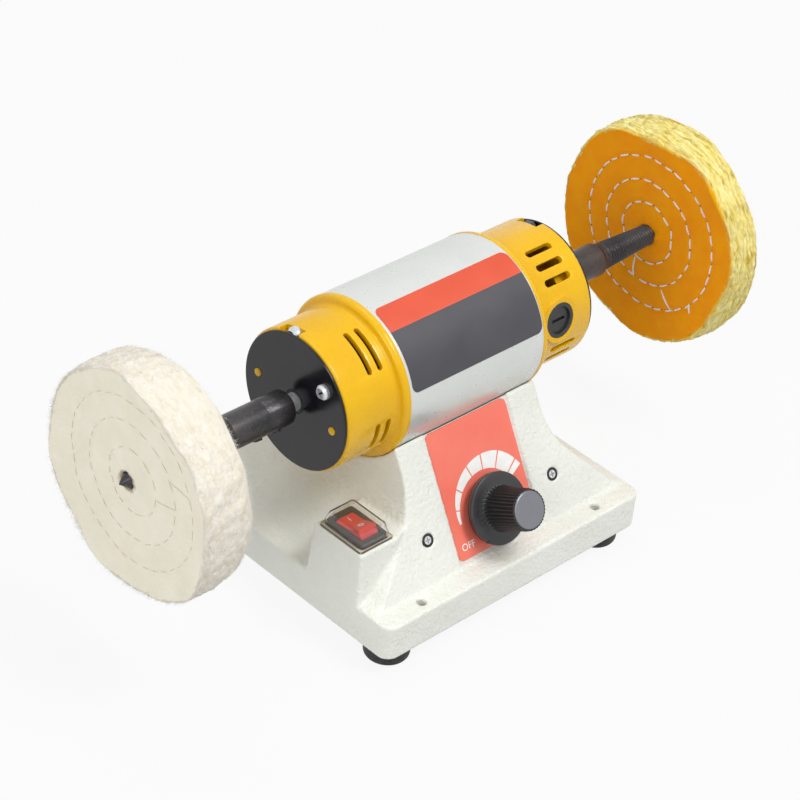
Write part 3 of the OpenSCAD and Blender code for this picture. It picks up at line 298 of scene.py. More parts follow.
def core_steel():
    """Stacked laminations, seen from their edges."""
    s = Shader("core_steel", (0.2, 0.2, 0.21), 0.42, 0.85)
    sheets = s.bands(330)
    s.set("Base Color", s.ramp(sheets, [(0.1, (0.1, 0.1, 0.105)), (0.5, (0.24, 0.24, 0.25))]))
    s.bump(sheets, 0.00008, 0.7)
    return s.mat


def cover_clear():
    """Clear soft plastic, a little milky."""
    s = Shader("cover_clear", srgb(252, 251, 249), 0.05, IOR=1.3, Transmission_Weight=0.97,
               Coat_Weight=0.1, Coat_Roughness=0.04)
    s.set("Roughness", s.grey(s.noise(400, 3), 0.02, 0.06))
    s.bump(s.noise(120, 2), 0.0002, 0.15)
    return s.mat


def gasket_brown():
    """A translucent rim with a painted dark edge, standing in for how clear plastic looks dark where it is
    seen end on.
    """
    dark_to, pale_from = 0.0002, 0.0005
    s = Shader("gasket_brown", srgb(196, 186, 166), 0.25, Coat_Weight=0.3, Coat_Roughness=0.1)
    low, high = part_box("switch_gasket")
    inset = []
    for k, place in enumerate(s.axes()[:2]):
        offset = s.math("ABSOLUTE", s.math("SUBTRACT", place, (high[k] + low[k]) / 2))
        inset.append(s.math("SUBTRACT", (high[k] - low[k]) / 2, offset))
    to_edge = s.math("MINIMUM", *inset)
    tone = s.between(s.noise(150, 3), srgb(186, 174, 152), srgb(206, 196, 176))
    # Painted shade: the colour turns brown-black within a fraction of a millimetre of the gasket's edge
    s.set("Base Color", s.mix(s.grey(to_edge, 1.0, 0.0, dark_to, pale_from), tone, srgb(84, 76, 66)))
    s.bump(s.noise(900, 2), 0.00003, 0.5)
    return s.mat


def cloth_face(name, dark, light, oil, soak, reach):
    """The flat side of a stitched wheel: crossing threads, mottling, and oil soaked in around the hole."""
    # Radians of the weave's waves for each metre, the edge of the hole, and how unevenly the oil creeps
    weave, hole, creep = 7400.0, 0.0042, 0.0011
    s = Shader(name, light, 0.9, Sheen_Weight=0.06, Sheen_Roughness=0.5, Specular_IOR_Level=0.1)
    y, z = s.axes()[1:]
    warp = s.math("SINE", s.math("MULTIPLY", y, weave))
    weft = s.math("SINE", s.math("MULTIPLY", z, weave))
    mottle = s.noise(85, 5, 0.6)
    fine = s.noise(900, 4, 0.7)
    tone = s.mix(s.grey(mottle, 0.0, 1.0), dark, light)
    tone = s.mix(s.grey(fine, 0.0, 0.3, 0.45, 0.8), tone, dark)
    up = s.math("SUBTRACT", z, AXIS_Z * MM)
    away = s.math("SQRT", s.math("ADD", s.math("POWER", y, 2.0), s.math("POWER", up, 2.0)))
    soaked = s.math("ADD", away, s.grey(s.noise(260, 4), -creep, creep))
    s.set("Base Color", s.mix(s.grey(soaked, soak, 0.0, hole, reach), tone, oil))
    s.bump(s.math("MULTIPLY", warp, weft), 0.0001, 0.5)
    s.bump(fine, 0.00025, 0.6)
    s.bump(mottle, 0.0008, 0.4)
    return s.mat


def cloth_rim(name, shaded_crevice, body, lit_tip, spacing, turns, relief, edge=None):
    """The cut edges of the plies, which run round the rim in broken lines.

    The lines lie about spacing apart, in mm, and break turns times a degree. An edge is a colour and the
    places along the spindle axis between which it fades.
    """
    s = Shader(name, body, 0.92, Sheen_Weight=0.12, Sheen_Roughness=0.4, Specular_IOR_Level=0.1)
    x = s.axes()[0]
    along = s.math("MULTIPLY", x, 1 / MM / spacing)
    wide = s.math("MULTIPLY", s.around(), turns)
    place = s.add("CombineXYZ", {"X": along, "Y": wide}).outputs[0]
    streak = s.noise(1.0, 3, 0.65, place)
    clump = s.noise(170, 4, 0.6)
    # Painted shade in the streaks' low places, the cloth's own colour between, and painted highlight on
    # their high places; random clumps also take the painted highlight colour
    tone = s.ramp(streak, [(0.33, shaded_crevice), (0.47, body), (0.68, lit_tip)])
    tone = s.mix(s.grey(clump, 0.0, 0.45, 0.45, 0.75), tone, lit_tip)
    if edge:
        colour, near, far = edge
        tone = s.mix(s.grey(s.math("ABSOLUTE", x), 1.0, 0.0, near, far), tone, colour)
    s.set("Base Color", tone)
    s.bump(streak, relief, 0.6)
    s.bump(s.noise(1300, 4, 0.7), relief, 0.6)
    return s.mat


def fibre(name, colour):
    """Loose cotton fibres, which catch light from all round."""
    s = Shader(name, colour, 0.95, Sheen_Weight=0.5, Sheen_Roughness=0.4, Specular_IOR_Level=0.1)
    s.set("Base Color", s.ramp(s.noise(700, 2), [(0.3, tuple(c * 0.94 for c in colour)), (0.65, colour)]))
    return s.mat


def thread_yarn(name, colour):
    """Twisted sewing thread."""
    s = Shader(name, colour, 0.75, Sheen_Weight=0.3)
    twist = s.noise(1500, 3, 0.6)
    s.set("Base Color", s.ramp(twist, [(0.3, tuple(c * 0.8 for c in colour)), (0.65, colour)]))
    s.bump(twist, 0.00012, 0.8)
    return s.mat


MATERIALS = {
    "cast_enamel": cast_enamel(),
    "panel_red": panel_red(),
    "label_grey": label_grey(),
    "housing_yellow": housing_yellow(),
    "barrel_silver": barrel_silver(),
    "plate_black": plate_black(),
    "oxide_black": oxide_black(),
    "zinc_steel": metal("zinc_steel", (0.66, 0.68, 0.7), 0.26, wear=0.12, scale=420),
    "bright_steel": metal("bright_steel", (0.6, 0.61, 0.63), 0.2, (10.0, 1.0, 1.0), 0.08, 200),
    "core_steel": core_steel(),
    "copper": winding_copper(),
    "rubber_black": plastic("rubber_black", (0.014, 0.014, 0.014), 0.62, 1400, 0.00006, 0.25),
    "plastic_black": plastic("plastic_black", (0.012, 0.012, 0.0125), 0.36, 1500, 0.00004, 0.2),
    "plastic_grey": plastic("plastic_grey", (0.022, 0.022, 0.023), 0.4, 1300, 0.00005, 0.2),
    "cap_grey": metal("cap_grey", srgb(132, 134, 140), 0.4, wear=0.05, scale=900),
    "rocker_red": plastic("rocker_red", srgb(208, 10, 12), 0.22, 900, 0.00003, 0.08, 0.3),
    "cover_clear": cover_clear(),
    "gasket_brown": gasket_brown(),
    "board_green": plastic("board_green", (0.02, 0.12, 0.05), 0.35, 1200, 0.00004, 0.15),
    "film_yellow": plastic("film_yellow", (0.6, 0.36, 0.04), 0.3, 1200, 0.00003, 0.1),
    "sink_aluminium": metal("sink_aluminium", (0.7, 0.71, 0.72), 0.35, (1.0, 6.0, 1.0), 0.08, 300),
    "carbon": plastic("carbon", (0.02, 0.02, 0.021), 0.5, 1600, 0.00005, 0.25),
    "cotton_white": cloth_face("cotton_white", srgb(247, 240, 218), srgb(253, 247, 229),
                               oil=srgb(150, 112, 76), soak=0.5, reach=0.0053),
    "cotton_yellow": cloth_face("cotton_yellow", srgb(252, 152, 1), srgb(255, 168, 3),
                                oil=srgb(170, 96, 8), soak=0.3, reach=0.0075),
}
# Rim colours: painted shade for the crevices, the cloth's own colour, and painted highlight for the tips of
# the plies
RIM_WHITE = cloth_rim("rim_white", srgb(230, 219, 198), srgb(234, 227, 211), srgb(238, 233, 222),
                      spacing=2.4, turns=0.12, relief=0.00018)
RIM_YELLOW = cloth_rim("rim_yellow", srgb(204, 172, 60), srgb(240, 222, 130), srgb(248, 240, 184),
                       spacing=1.1, turns=0.07, relief=0.0004, edge=(srgb(246, 190, 20), 0.1412, 0.1424))
FIBRE_WHITE = fibre("fibre_white", srgb(242, 238, 229))
FIBRE_YELLOW = fibre("fibre_yellow", srgb(252, 236, 150))
# Painted shade: dark colours for the dimples where the stitches go into the cloth
SHADED_PIT_WHITE = plastic("shaded_pit_white", srgb(222, 211, 188), 0.95, wear=0.12)
SHADED_PIT_YELLOW = plastic("shaded_pit_yellow", srgb(120, 66, 4), 0.95, wear=0.2)
SCREW_PLATED = metal("screw_plated", (0.72, 0.73, 0.74), 0.36, wear=0.12, scale=500, metallic=0.6)
KNOB_BLACK = plastic("knob_black", (0.027, 0.027, 0.029), 0.36, 700, 0.00002, 0.1)
PRINT = print_white()
YARN = thread_yarn("yarn", srgb(250, 246, 236))
YARN_WHITE = thread_yarn("yarn_white", srgb(238, 231, 212))


def paint(obj, material):
    obj.data.materials.clear()
    obj.data.materials.append(material)


for row in record["subparts"]:
    paint(nodes[row["node"]], MATERIALS[row["material_slot"]])
for node in ("board_screws", "end_plate_screws", "motor_shaft"):
    paint(nodes[node], SCREW_PLATED)
paint(nodes["tie_bolt_nuts"], MATERIALS["oxide_black"])


# Mesh building

def mesh_piece(name, points, faces, material, body, slot, smooth=True, stands_for=()):
    """A piece of the object from points in millimetres."""
    mesh = bpy.data.meshes.new(name)
    mesh.from_pydata((np.asarray(points, float) * MM).tolist(), [], faces)
    mesh.validate()
    if smooth:
        mesh.polygons.foreach_set("use_smooth", [True] * len(mesh.polygons))
    obj = add_object(name, mesh)
    mesh.materials.append(material)
    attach(obj, body)
    if stands_for:
        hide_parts(*stands_for)
    return obj


def grid_faces(rows, columns, close_rows=False):
    """Quads over rows of points; each row closes on itself."""
    faces = []
    for i in range(rows if close_rows else rows - 1):
        here = i * columns
        there = (i + 1) % rows * columns
        for j in range(columns):
            k = (j + 1) % columns
            faces.append((here + j, here + k, there + k, there + j))
    return faces


def for_side(faces, side):
    """Faces written for the right side, turned over for the left."""
    return faces if side > 0 else [f[::-1] for f in faces]


def circle(steps):
    return np.arange(steps) * 2 * math.pi / steps


def on_axis(x, radius, angle):
    """A point by its place along the spindle axis, its distance from it and its angle, 0 at the front."""
    return np.stack([np.broadcast_to(x, np.shape(angle * radius)), -radius * np.cos(angle),
                     AXIS_Z + radius * np.sin(angle)], -1)


def on_face(x, s, out):
    """A point by its place on the front face: along it, up it and out of it."""
    x, s, out = np.broadcast_arrays(x, s, out)
    return np.stack([x, FACE_Y + s * math.sin(TILT) - out * math.cos(TILT),
                     FACE_Z + s * math.cos(TILT) + out * math.sin(TILT)], -1)


def grow(value, start, length):
    """Rises from 0 to 1 over a length."""
    return np.clip((value - start) / length, 0, 1)


def ripple(angle, seed, low, high, falloff):
    """A smooth random curve that closes round the axis, about one high."""
    r = np.random.default_rng(seed)
    total = np.zeros_like(angle)
    power = 0.0
    for n in range(low, high + 1):
        size = n ** -falloff
        total += size * np.cos(n * angle + r.uniform(0, 2 * math.pi))
        power += size * size / 2
    return total / math.sqrt(power)


def ripple_2d(angle, along, seed, low, high, reach, waves=14):
    """The same over a surface: reach is the largest number of radians for each unit along."""
    r = np.random.default_rng(seed)
    total = np.zeros(np.broadcast_shapes(angle.shape, along.shape))
    for _ in range(waves):
        n = r.integers(low, high + 1)
        total = total + np.cos(n * angle + r.uniform(-reach, reach) * along + r.uniform(0, 2 * math.pi))
    return total / math.sqrt(waves / 2)


def lumps(shape, spacing, grain, seed):
    """Smooth random heights, one high, that close round the axis; grain is their size each way."""
    raw = np.fft.rfft2(np.random.default_rng(seed).standard_normal(shape))
    rate = [np.fft.fftfreq(shape[0])[:, None] / spacing[0],
            np.fft.rfftfreq(shape[1])[None, :] / spacing[1]]
    keep = np.exp(-2 * ((rate[0] * grain[0]) ** 2 + (rate[1] * grain[1]) ** 2))
    heights = np.fft.irfft2(raw * keep, s=shape)
    return heights / heights.std()


def tube(line, radius, sides):
    """Points and faces of a closed tube along a line of points."""
    line = np.asarray(line, float)
    ahead = np.gradient(line, axis=0)
    ahead /= np.linalg.norm(ahead, axis=1)[:, None] + 1e-12
    ref = np.array([0.0, 0.0, 1.0]) if abs(ahead[0][2]) < 0.8 else np.array([0.0, 1.0, 0.0])
    a = np.cross(ahead, ref)
    a /= np.linalg.norm(a, axis=1)[:, None]
    b = np.cross(ahead, a)
    turn = circle(sides)[None, :, None]
    ring = np.cos(turn) * a[:, None, :] + np.sin(turn) * b[:, None, :]
    points = line[:, None, :] + np.broadcast_to(radius, len(line))[:, None, None] * ring
    faces = grid_faces(len(line), sides)
    faces.append(tuple(range(sides))[::-1])
    faces.append(tuple(range((len(line) - 1) * sides, len(line) * sides)))
    return points.reshape(-1, 3), faces


def join(parts):
    points, faces, start = [], [], 0
    for p, f in parts:
        points.append(p)
        faces.extend(tuple(start + i for i in face) for face in f)
        start += len(p)
    return np.concatenate(points), faces


# Spindles: turned roots, then a cut thread on the taper and a plain point

# Places along the axis, from the middle of the machine
ROOT_X, ROOT_END, SHOULDER, THREAD_X, THREAD_END, TIP = 87.2, 105.9, 107.5, 109.4, 153.4, 158.4
ROOT_R = 7.5
# The thread's outer radius at its two ends
THREAD_R = 6.3
TIP_R = 3.9
PITCH = 1.6
THREAD_DEPTH = 0.85
THREAD_ROWS = 420
# How the groove's depth falls off from its middle, and the lengths over which it starts and ends
GROOVE, FLANK = 1.15, 2.6
RUN_IN, RUN_OUT = 1.2, 1.5
# Place and radius along the turned root
ROOT_PROFILE = (
    (ROOT_X, 4.2), (ROOT_X, 7.35), (ROOT_X + 0.35, 7.35), (ROOT_X + 0.55, ROOT_R), (ROOT_X + 0.7, ROOT_R),
    (ROOT_END - 6, ROOT_R), (ROOT_END - 0.55, ROOT_R), (ROOT_END - 0.35, ROOT_R), (ROOT_END, 7.3),
    (ROOT_END + 0.2, 7.0), (SHOULDER - 0.2, 6.4))


def thread_radius(x, angle, hand):
    """The radius of the threaded taper, with its groove."""
    phase = ((x - THREAD_X) / PITCH + hand * angle / (2 * math.pi)) % 1.0
    cut = np.clip(GROOVE - np.abs(phase - 0.5) * FLANK, 0.0, 1.0)
    fade = min(1.0, max(0.0, (x - THREAD_X) / RUN_IN)) * min(1.0, (THREAD_END - x) / RUN_OUT)
    share = (max(x, THREAD_X) - THREAD_X) / (THREAD_END - THREAD_X)
    return THREAD_R + (TIP_R - THREAD_R) * share - THREAD_DEPTH * cut * fade


def spindle(side, piece_name, node):
    """One spindle. The thread is left-hand on the left."""
    angle = circle(72)
    rows = [(x, np.full_like(angle, r)) for x, r in ROOT_PROFILE]
    for x in np.linspace(SHOULDER, THREAD_END, THREAD_ROWS):
        rows.append((x, thread_radius(x, angle, side)))
    for x in (THREAD_END + 0.4, *np.linspace(THREAD_END + 1, TIP, 10)):
        share = (x - THREAD_END) / (TIP - THREAD_END)
        rows.append((x, np.full_like(angle, max(0.05, TIP_R * (1 - share)))))
    points = np.concatenate([on_axis(side * x, radius, angle) for x, radius in rows])
    faces = grid_faces(len(rows), len(angle))
    faces.append(tuple(range(len(points) - len(angle), len(points))))
    mesh_piece(piece_name, points, for_side(faces, side), MATERIALS["oxide_black"], "rotor", "oxide_black",
               stands_for=(node,))


spindle(1, "threaded_spindle_right", "right_spindle")
spindle(-1, "threaded_spindle_left", "left_spindle")


# Buffing wheels

def outline_at(outline, angle):
    """A radius that follows points given as degrees and millimetres, with soft corners."""
    at, size = zip(*outline)
    shifts = np.radians(np.linspace(-7, 7, 9))
    total = np.zeros_like(angle)
    for shift in shifts:
        total += np.interp(angle + shift, np.radians(np.array(at)), np.array(size), period=2 * math.pi)
    return total / len(shifts)


def ring_radius(angle, radius, shift, towards):
    """The distance from the axis of a ring whose own centre lies to one side."""
    off = angle - math.radians(towards)
    return shift * np.cos(off) + np.sqrt(radius ** 2 - (shift * np.sin(off)) ** 2)


class Wheel:
    """A stitched cloth wheel: two puckered faces and a rim of cut plies."""

    # Points round the wheel, and rows of them on each face and across the rim
    around = 900
    face_rows = 60
    rim_rows = 120
    # Radius of the hole in the outer and inner face
    holes = (3.95, 4.7)
    # Where the faces start to open and where the ripples start, and the lengths over which both grow
    opening = (20, 28)
    rippled = (36, 12)
    # About the size of the rim, which sets the scale of its grain
    rim_width = 18.0
    rim_radius = 50
    # The rim's section is a power of a sine: less is squarer
    roundness = 0.55
    seam_width = 1.2
    puff_width = 5

    def __init__(self, side, seed, faces, flares, outlines, crown, rings, hub, rim_grain, seam, spill):
        self.side = side
        self.seed = seed
        # Distances of the outer and inner faces from the middle of the machine, and how they open at the rim
        self.faces = faces
        self.flares = flares
        self.outlines = outlines
        self.crown = crown
        # Each ring of stitches: its radius, how far its centre lies off the axis, and towards what angle
        self.rings = rings
        # For each face, how far its middle stands out, and how wide that is
        self.hub = hub
        # Lumps on the rim: their height, their size across and along it, and how far they lean
        self.rim_grain = rim_grain
        # How deep the seams are drawn in, and how far the rim's cloth hangs over the faces, in rows
        self.seam = seam
        self.spill = spill
        self.angle = circle(self.around)

    def edges(self):
        return [outline_at(outline, self.angle) for outline in self.outlines]

    def face_x(self, angle, r, outer):
        """The place of a face along the axis: it opens at the rim and is drawn in along the stitches."""
        sign = 1 if outer else -1
        k = 0 if outer else 1
        swell, width = self.hub[k]
        seed = self.seed + 3 * k
        out = self.flares[k] * grow(r, *self.opening) ** 2 + swell * np.exp(-(r / width) ** 2)
        out = out + 0.16 * ripple_2d(angle, r, seed, 1, 7, 0.25)
        out = out + grow(r, *self.rippled) * 0.4 * ripple_2d(angle, r, seed + 1, 4, 13, 0.12)
        for ring in self.rings:
            off = r - ring_radius(angle, *ring)
            drawn = self.seam * np.exp(-(off / self.seam_width) ** 2)
            out = out - drawn + 0.1 * np.exp(-(off / self.puff_width) ** 2)
        return self.faces[k] + sign * out

    def body(self):
        """Points and faces in loops round the axis: over the outer face, the rim and the inner face."""
        edges = self.edges()
        xs, rs = [], []
        for k, outer in enumerate((True, False)):
            share = np.linspace(0, 1, self.face_rows)[:, None]
            r = self.holes[k] + (edges[k] - self.holes[k])[None, :] * share
            xs.append(self.face_x(np.broadcast_to(self.angle, r.shape), r, outer))
            rs.append(r)
        share = np.linspace(0, 1, self.rim_rows + 1)[1:-1][:, None]
        rise = np.sin(share * math.pi) ** self.roundness
        rim_x = xs[0][-1] + (xs[1][-1] - xs[0][-1]) * (1 - np.cos(share * math.pi)) / 2
        rim_r = edges[0] + (edges[1] - edges[0]) * share + self.crown * rise
        shape = rim_r.shape
        spacing = (self.rim_width / self.rim_rows, 2 * math.pi * self.rim_radius / self.around)
        hold = np.clip(rise * 1.3, 0, 1)
        for n, (height, across, along, lean) in enumerate(self.rim_grain):
            rim_r = rim_r + hold * height * lumps(shape, spacing, (across, along), self.seed * 10 + n)
            rim_x = rim_x + hold * lean * lumps(shape, spacing, (across * 2, along), self.seed * 20 + n)
        x = np.concatenate([xs[0], rim_x, xs[1][::-1]])
        r = np.concatenate([rs[0], rim_r, rs[1][::-1]])
        points = on_axis(self.side * x, r, np.broadcast_to(self.angle, r.shape)).reshape(-1, 3)
        return points, for_side(grid_faces(len(x), self.around, close_rows=True), -self.side)

    def rim_cloth(self, polygons):
        """One for each polygon that shows the rim's cloth, with a ragged border, and zero for the others."""
        base, ragged = self.spill
        over = [np.maximum(0, base + ragged * ripple(self.angle, self.seed + 40 + k, 5, 60, 0.4))
                for k in range(2)]
        marks = []
        for p in polygons:
            rows = [v // self.around for v in p.vertices]
            column = p.vertices[0] % self.around
            low = self.face_rows - 1 - over[0][column]
            high = self.face_rows + self.rim_rows - 1 + over[1][column]
            marks.append(1 if low <= min(rows) and max(rows) <= high else 0)
        return marks

    def stitch(self, angle, radius, outer, thick):
        """A length of thread that arches out of the cloth."""
        arch = np.sin(np.linspace(0, math.pi, len(angle)))
        lift = (0.12 + thick * 0.6 * arch) * (1 if outer else -1)
        line = on_axis(self.side * (self.face_x(angle, radius, outer) + lift), radius, angle)
        return tube(line, thick * (0.6 + 0.4 * arch), 6)

    def pit(self, angle, radius, outer, size):
        """A small dimple where a stitch goes into the cloth; its dark material is painted shade."""
        at = angle + size * np.array([-1, -0.4, 0.4, 1]) / radius
        where = np.full(4, radius)
        x = self.face_x(at, where, outer) + (0.08 if outer else -0.08)
        return tube(on_axis(self.side * x, where, at), size * 0.55 * np.array([0.3, 1, 1, 0.3]), 5)

    def sewing(self, outer, long, gap, thick, runs):
        """Rings of stitches, the runs that lead from ring to ring, and the dimples at the stitches' ends."""
        r = np.random.default_rng(self.seed + 5)
        stitches, pits = [], []
        for ring in self.rings:
            count = int(2 * math.pi * ring[0] / (long + gap))
            for i in range(count):
                mid = (i + r.uniform(-0.1, 0.1)) * 2 * math.pi / count
                half = long / ring[0] / 2 * r.uniform(0.85, 1.15)
                at = np.linspace(mid - half, mid + half, 7)
                off = r.uniform(-0.3, 0.3) + np.linspace(-0.2, 0.2, 7) * r.uniform(-1, 1)
                where = ring_radius(at, *ring) + off
                stitches.append(self.stitch(at, where, outer, thick))
                for end in (0, -1):
                    pits.append(self.pit(at[end], where[end], outer, thick * 1.1))
        for a0, r0, a1, r1 in runs:
            at = np.radians(np.linspace(a0, a1, 8))
            stitches.append(self.stitch(at, np.linspace(r0, r1, 8), outer, thick))
        return join(stitches), join(pits)

    def fuzz(self, count, length, thick):
        """Loose fibres along the rim, some of them at its two edges."""
        r = np.random.default_rng(self.seed + 9)
        edges = self.edges()
        ends = [self.faces[0] + self.flares[0], self.faces[1] - self.flares[1]]
        # How deep the fibres start, and how steeply they stand
        rooted, upright = 0.5, 0.7
        steps = np.linspace(0, 1, 4)
        parts = []
        for _ in range(count):
            at = r.uniform(0, 2 * math.pi)
            share = r.uniform(0.0, 1.0) if r.uniform() < 0.9 else float(r.integers(0, 2))
            size = length * r.uniform(0.35, 1.0)
            lean = r.normal(0, 0.6, 2)
            curl = r.normal(0, 0.45, 2)
            x = ends[0] + (ends[1] - ends[0]) * (1 - math.cos(share * math.pi)) / 2
            edge = [np.interp(at, self.angle, e) for e in edges]
            rise = self.crown * math.sin(share * math.pi) ** self.roundness
            radius = edge[0] + (edge[1] - edge[0]) * share + rise - rooted
            angle = at + (lean[0] * steps + curl[0] * steps ** 2) * size / radius
            out = radius + size * steps * upright
            bent = (lean[1] * steps + curl[1] * steps ** 2) * size * upright
            along = x + bent + (0.5 - share) * size * steps
            parts.append(tube(on_axis(self.side * along, out, angle), thick * (1 - 0.8 * steps), 3))
        return join(parts)


def dress_wheel(wheel, name, node, slot, rim, loose, yarn, pit, sewn, runs, fibres):
    """All pieces of a wheel. Its cloth's material has the slot's name."""
    points, faces = wheel.body()
    piece = mesh_piece(name, points, faces, MATERIALS[slot], "rotor", slot, stands_for=(node,))
    piece.data.materials.append(rim)
    piece.data.polygons.foreach_set("material_index", wheel.rim_cloth(piece.data.polygons))
    points, faces = wheel.fuzz(*fibres)
    mesh_piece(name + "_fibres", points, faces, loose, "rotor", slot)
    for outer, side in ((True, "outer"), (False, "inner")):
        stitches, pits = wheel.sewing(outer, *sewn, runs)
        mesh_piece(name + "_stitches_" + side, *stitches, yarn, "rotor", slot)
        mesh_piece(name + "_shaded_dimples_" + side, *pits, pit, "rotor", slot)


# The outlines of the outer and the inner edge are degrees from the front and the radius there
WHITE = Wheel(
    side=-1, seed=11, faces=(155.3, 138.8), flares=(1.5, 3.8), crown=1.3, hub=((-0.9, 12), (0.6, 12)),
    outlines=(((3, 48.2), (23, 49.8), (38, 47.6), (56, 44.6), (69, 45.8), (84, 49.0), (97, 49.0),
               (115, 46.4), (131, 46.0), (158, 45.0), (187, 44.7), (206, 47.2), (216, 46.4), (228, 45.0),
               (239, 47.2), (254, 47.8), (274, 46.8), (296, 47.5), (317, 50.6), (328, 51.6), (342, 49.2)),
              ((11, 50.2), (37, 50.6), (53, 48.4), (66, 49.4), (82, 48.4), (92, 47.4), (113, 46.6),
               (133, 47.0), (160, 46.8), (187, 45.8), (206, 46.8), (228, 45.8), (254, 47.6), (274, 47.8),
               (296, 49.2), (323, 48.6), (346, 49.2))),
    rings=((14.2, 4.6, 30), (26.0, 4.8, 30), (37.0, 4.8, 30)),
    rim_grain=((0.26, 2.6, 5.0, 0.15), (0.09, 0.6, 2.5, 0.05), (0.08, 0.3, 0.5, 0.04)),
    seam=0.22, spill=(-0.6, 1.5))
YELLOW = Wheel(
    side=1, seed=23, faces=(155.9, 141.9), flares=(0.9, 0.4), crown=0.6, hub=((0.0, 12), (2.7, 9)),
    outlines=(((0, 49.2), (25, 48.9), (41, 48.6), (53, 49.4), (74, 50.4), (97, 50.1), (124, 50.0),
               (149, 51.4), (170, 51.4), (200, 52.0), (240, 53.8), (275, 54.3), (300, 53.0), (315, 50.8),
               (329, 49.5), (346, 49.8)),
              ((0, 47.2), (29, 47.0), (45, 47.1), (61, 47.9), (74, 46.6), (88, 43.4), (104, 44.2),
               (118, 47.6), (131, 49.6), (156, 49.3), (169, 49.9), (183, 51.0), (196, 51.3), (241, 53.0),
               (259, 51.6), (274, 52.4), (289, 51.5), (309, 49.3), (324, 46.9), (341, 44.4), (351, 46.0))),
    rings=((14.5, 1.6, 190), (25.0, 1.2, 190), (36.5, 0.0, 190)),
    rim_grain=((0.3, 0.42, 9.0, 0.15), (0.2, 0.3, 2.4, 0.1), (0.2, 2.2, 3.5, 0.2)),
    seam=0.45, spill=(-0.2, 0.8))

# Sewn gives a stitch's length, gap and thickness. Runs lead from ring to ring: angle and radius at both
# ends. Fibres gives their number, length and thickness.
dress_wheel(WHITE, "white_wheel", "white_buffing_wheel", "cotton_white",
            RIM_WHITE, FIBRE_WHITE, YARN_WHITE, SHADED_PIT_WHITE,
            sewn=(3.6, 2.6, 0.17),
            runs=((6.3, 18.6, 9.3, 30.0), (31.2, 30.8, 22.0, 41.5)),
            fibres=(13000, 2.0, 0.045))
dress_wheel(YELLOW, "yellow_wheel", "yellow_buffing_wheel", "cotton_yellow",
            RIM_YELLOW, FIBRE_YELLOW, YARN, SHADED_PIT_YELLOW,
            sewn=(4.6, 1.8, 0.45),
            runs=((250, 16.3, 259, 26.0), (295, 26.6, 300.5, 36.1), (321, 36.0, 317, 40.0)),
            fibres=(4200, 1.3, 0.06))


# Small pieces on the end plates: a dust washer that closes the hole around the shaft, and two yellow pegs

PEG_R = 22.5
PEG_ANGLES = (-4, 176)
# Height over the plate and radius
PEG_PROFILE = ((-0.9, 1.8), (0.2, 1.8), (0.5, 1.6), (0.62, 1.1), (0.64, 0.4))
WASHER_PROFILE = ((-0.9, 4.0), (-0.9, 5.1), (-0.2, 5.1), (0.1, 4.8), (0.1, 4.0))


def plate_face(name):
    """How far the outer face of an end plate lies from the middle of the machine."""
    low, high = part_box(name + "_end_plate")
    return max(abs(low[0]), abs(high[0])) / MM


def on_plate(name, side, radius, degrees, out=0.0):
    """A point over an end plate."""
    return on_axis(side * (plate_face(name) + out), radius, np.radians(degrees))


def washer(name, side):
    angle = circle(64)
    points = np.concatenate([on_axis(side * (plate_face(name) + out), np.full_like(angle, r), angle)
                             for out, r in WASHER_PROFILE])
    faces = grid_faces(len(WASHER_PROFILE), len(angle), close_rows=True)
    mesh_piece(name + "_dust_washer", points, for_side(faces, side), MATERIALS["rubber_black"], "rotor",
               "rubber_black")


def peg(name, side, centre):
    turn = circle(24)
    n = len(turn)
    rings = [np.stack([np.full(n, side * x), r * np.cos(turn), r * np.sin(turn)], -1)
             for x, r in PEG_PROFILE]
    points = centre + np.concatenate(rings)
    faces = grid_faces(len(PEG_PROFILE), n) + [tuple(range(len(points) - n, len(points))),
                                               tuple(range(n))[::-1]]
    mesh_piece(name, points, for_side(faces, side), MATERIALS["housing_yellow"], "frame", "housing_yellow")


for side, name in SIDES:
    washer(name, side)
    for k, spot in enumerate(PEG_ANGLES):
        peg("%s_peg_%d" % (name, k + 1), side, on_plate(name, side, PEG_R, spot))


# Painted shade in the cross recesses of the end plates' screws: dark bars that sit inside each recess

SCREW_R = 22.0
SCREW_ANGLES = (41, 221)
SCREW_OUT = 1.5
# Half the length and width of a bar of the cross, and its height
BAR_LONG, BAR_WIDE, BAR_HIGH = 1.7, 0.4, 0.3
BAR_FACES = ((0, 3, 2, 1), (4, 5, 6, 7), (0, 1, 5, 4), (1, 2, 6, 5), (2, 3, 7, 6), (3, 0, 4, 7))

for side, name in SIDES:
    bars = []
    for spot in SCREW_ANGLES:
        centre = on_plate(name, side, SCREW_R, spot, SCREW_OUT)
        for turn in (math.radians(-spot), math.radians(90 - spot)):
            along = np.array([0.0, math.cos(turn), math.sin(turn)]) * BAR_LONG
            across = np.array([0.0, -math.sin(turn), math.cos(turn)]) * BAR_WIDE
            lift = np.array([side * BAR_HIGH, 0.0, 0.0])
            corners = [centre + a * along + b * across + c * lift
                       for c in (0, 1) for a, b in ((-1, -1), (1, -1), (1, 1), (-1, 1))]
            bars.append((np.array(corners), BAR_FACES))
    points, faces = join(bars)
    # The dark bars are painted shade inside the recesses
    mesh_piece(name + "_screw_cross_shade", points, for_side(faces, side), MATERIALS["oxide_black"], "frame",
               "oxide_black", smooth=False)


# A black ring around each screw of the front face: painted shade for the deep shadow of the screw's hole

SHADE_RING_X = 36.6
SHADE_RING_S = 18.3
# Radius and height over the front face
SHADE_RING_PROFILE = ((2.78, -1.2), (2.78, -0.25), (1.85, -0.32), (1.68, -0.55))

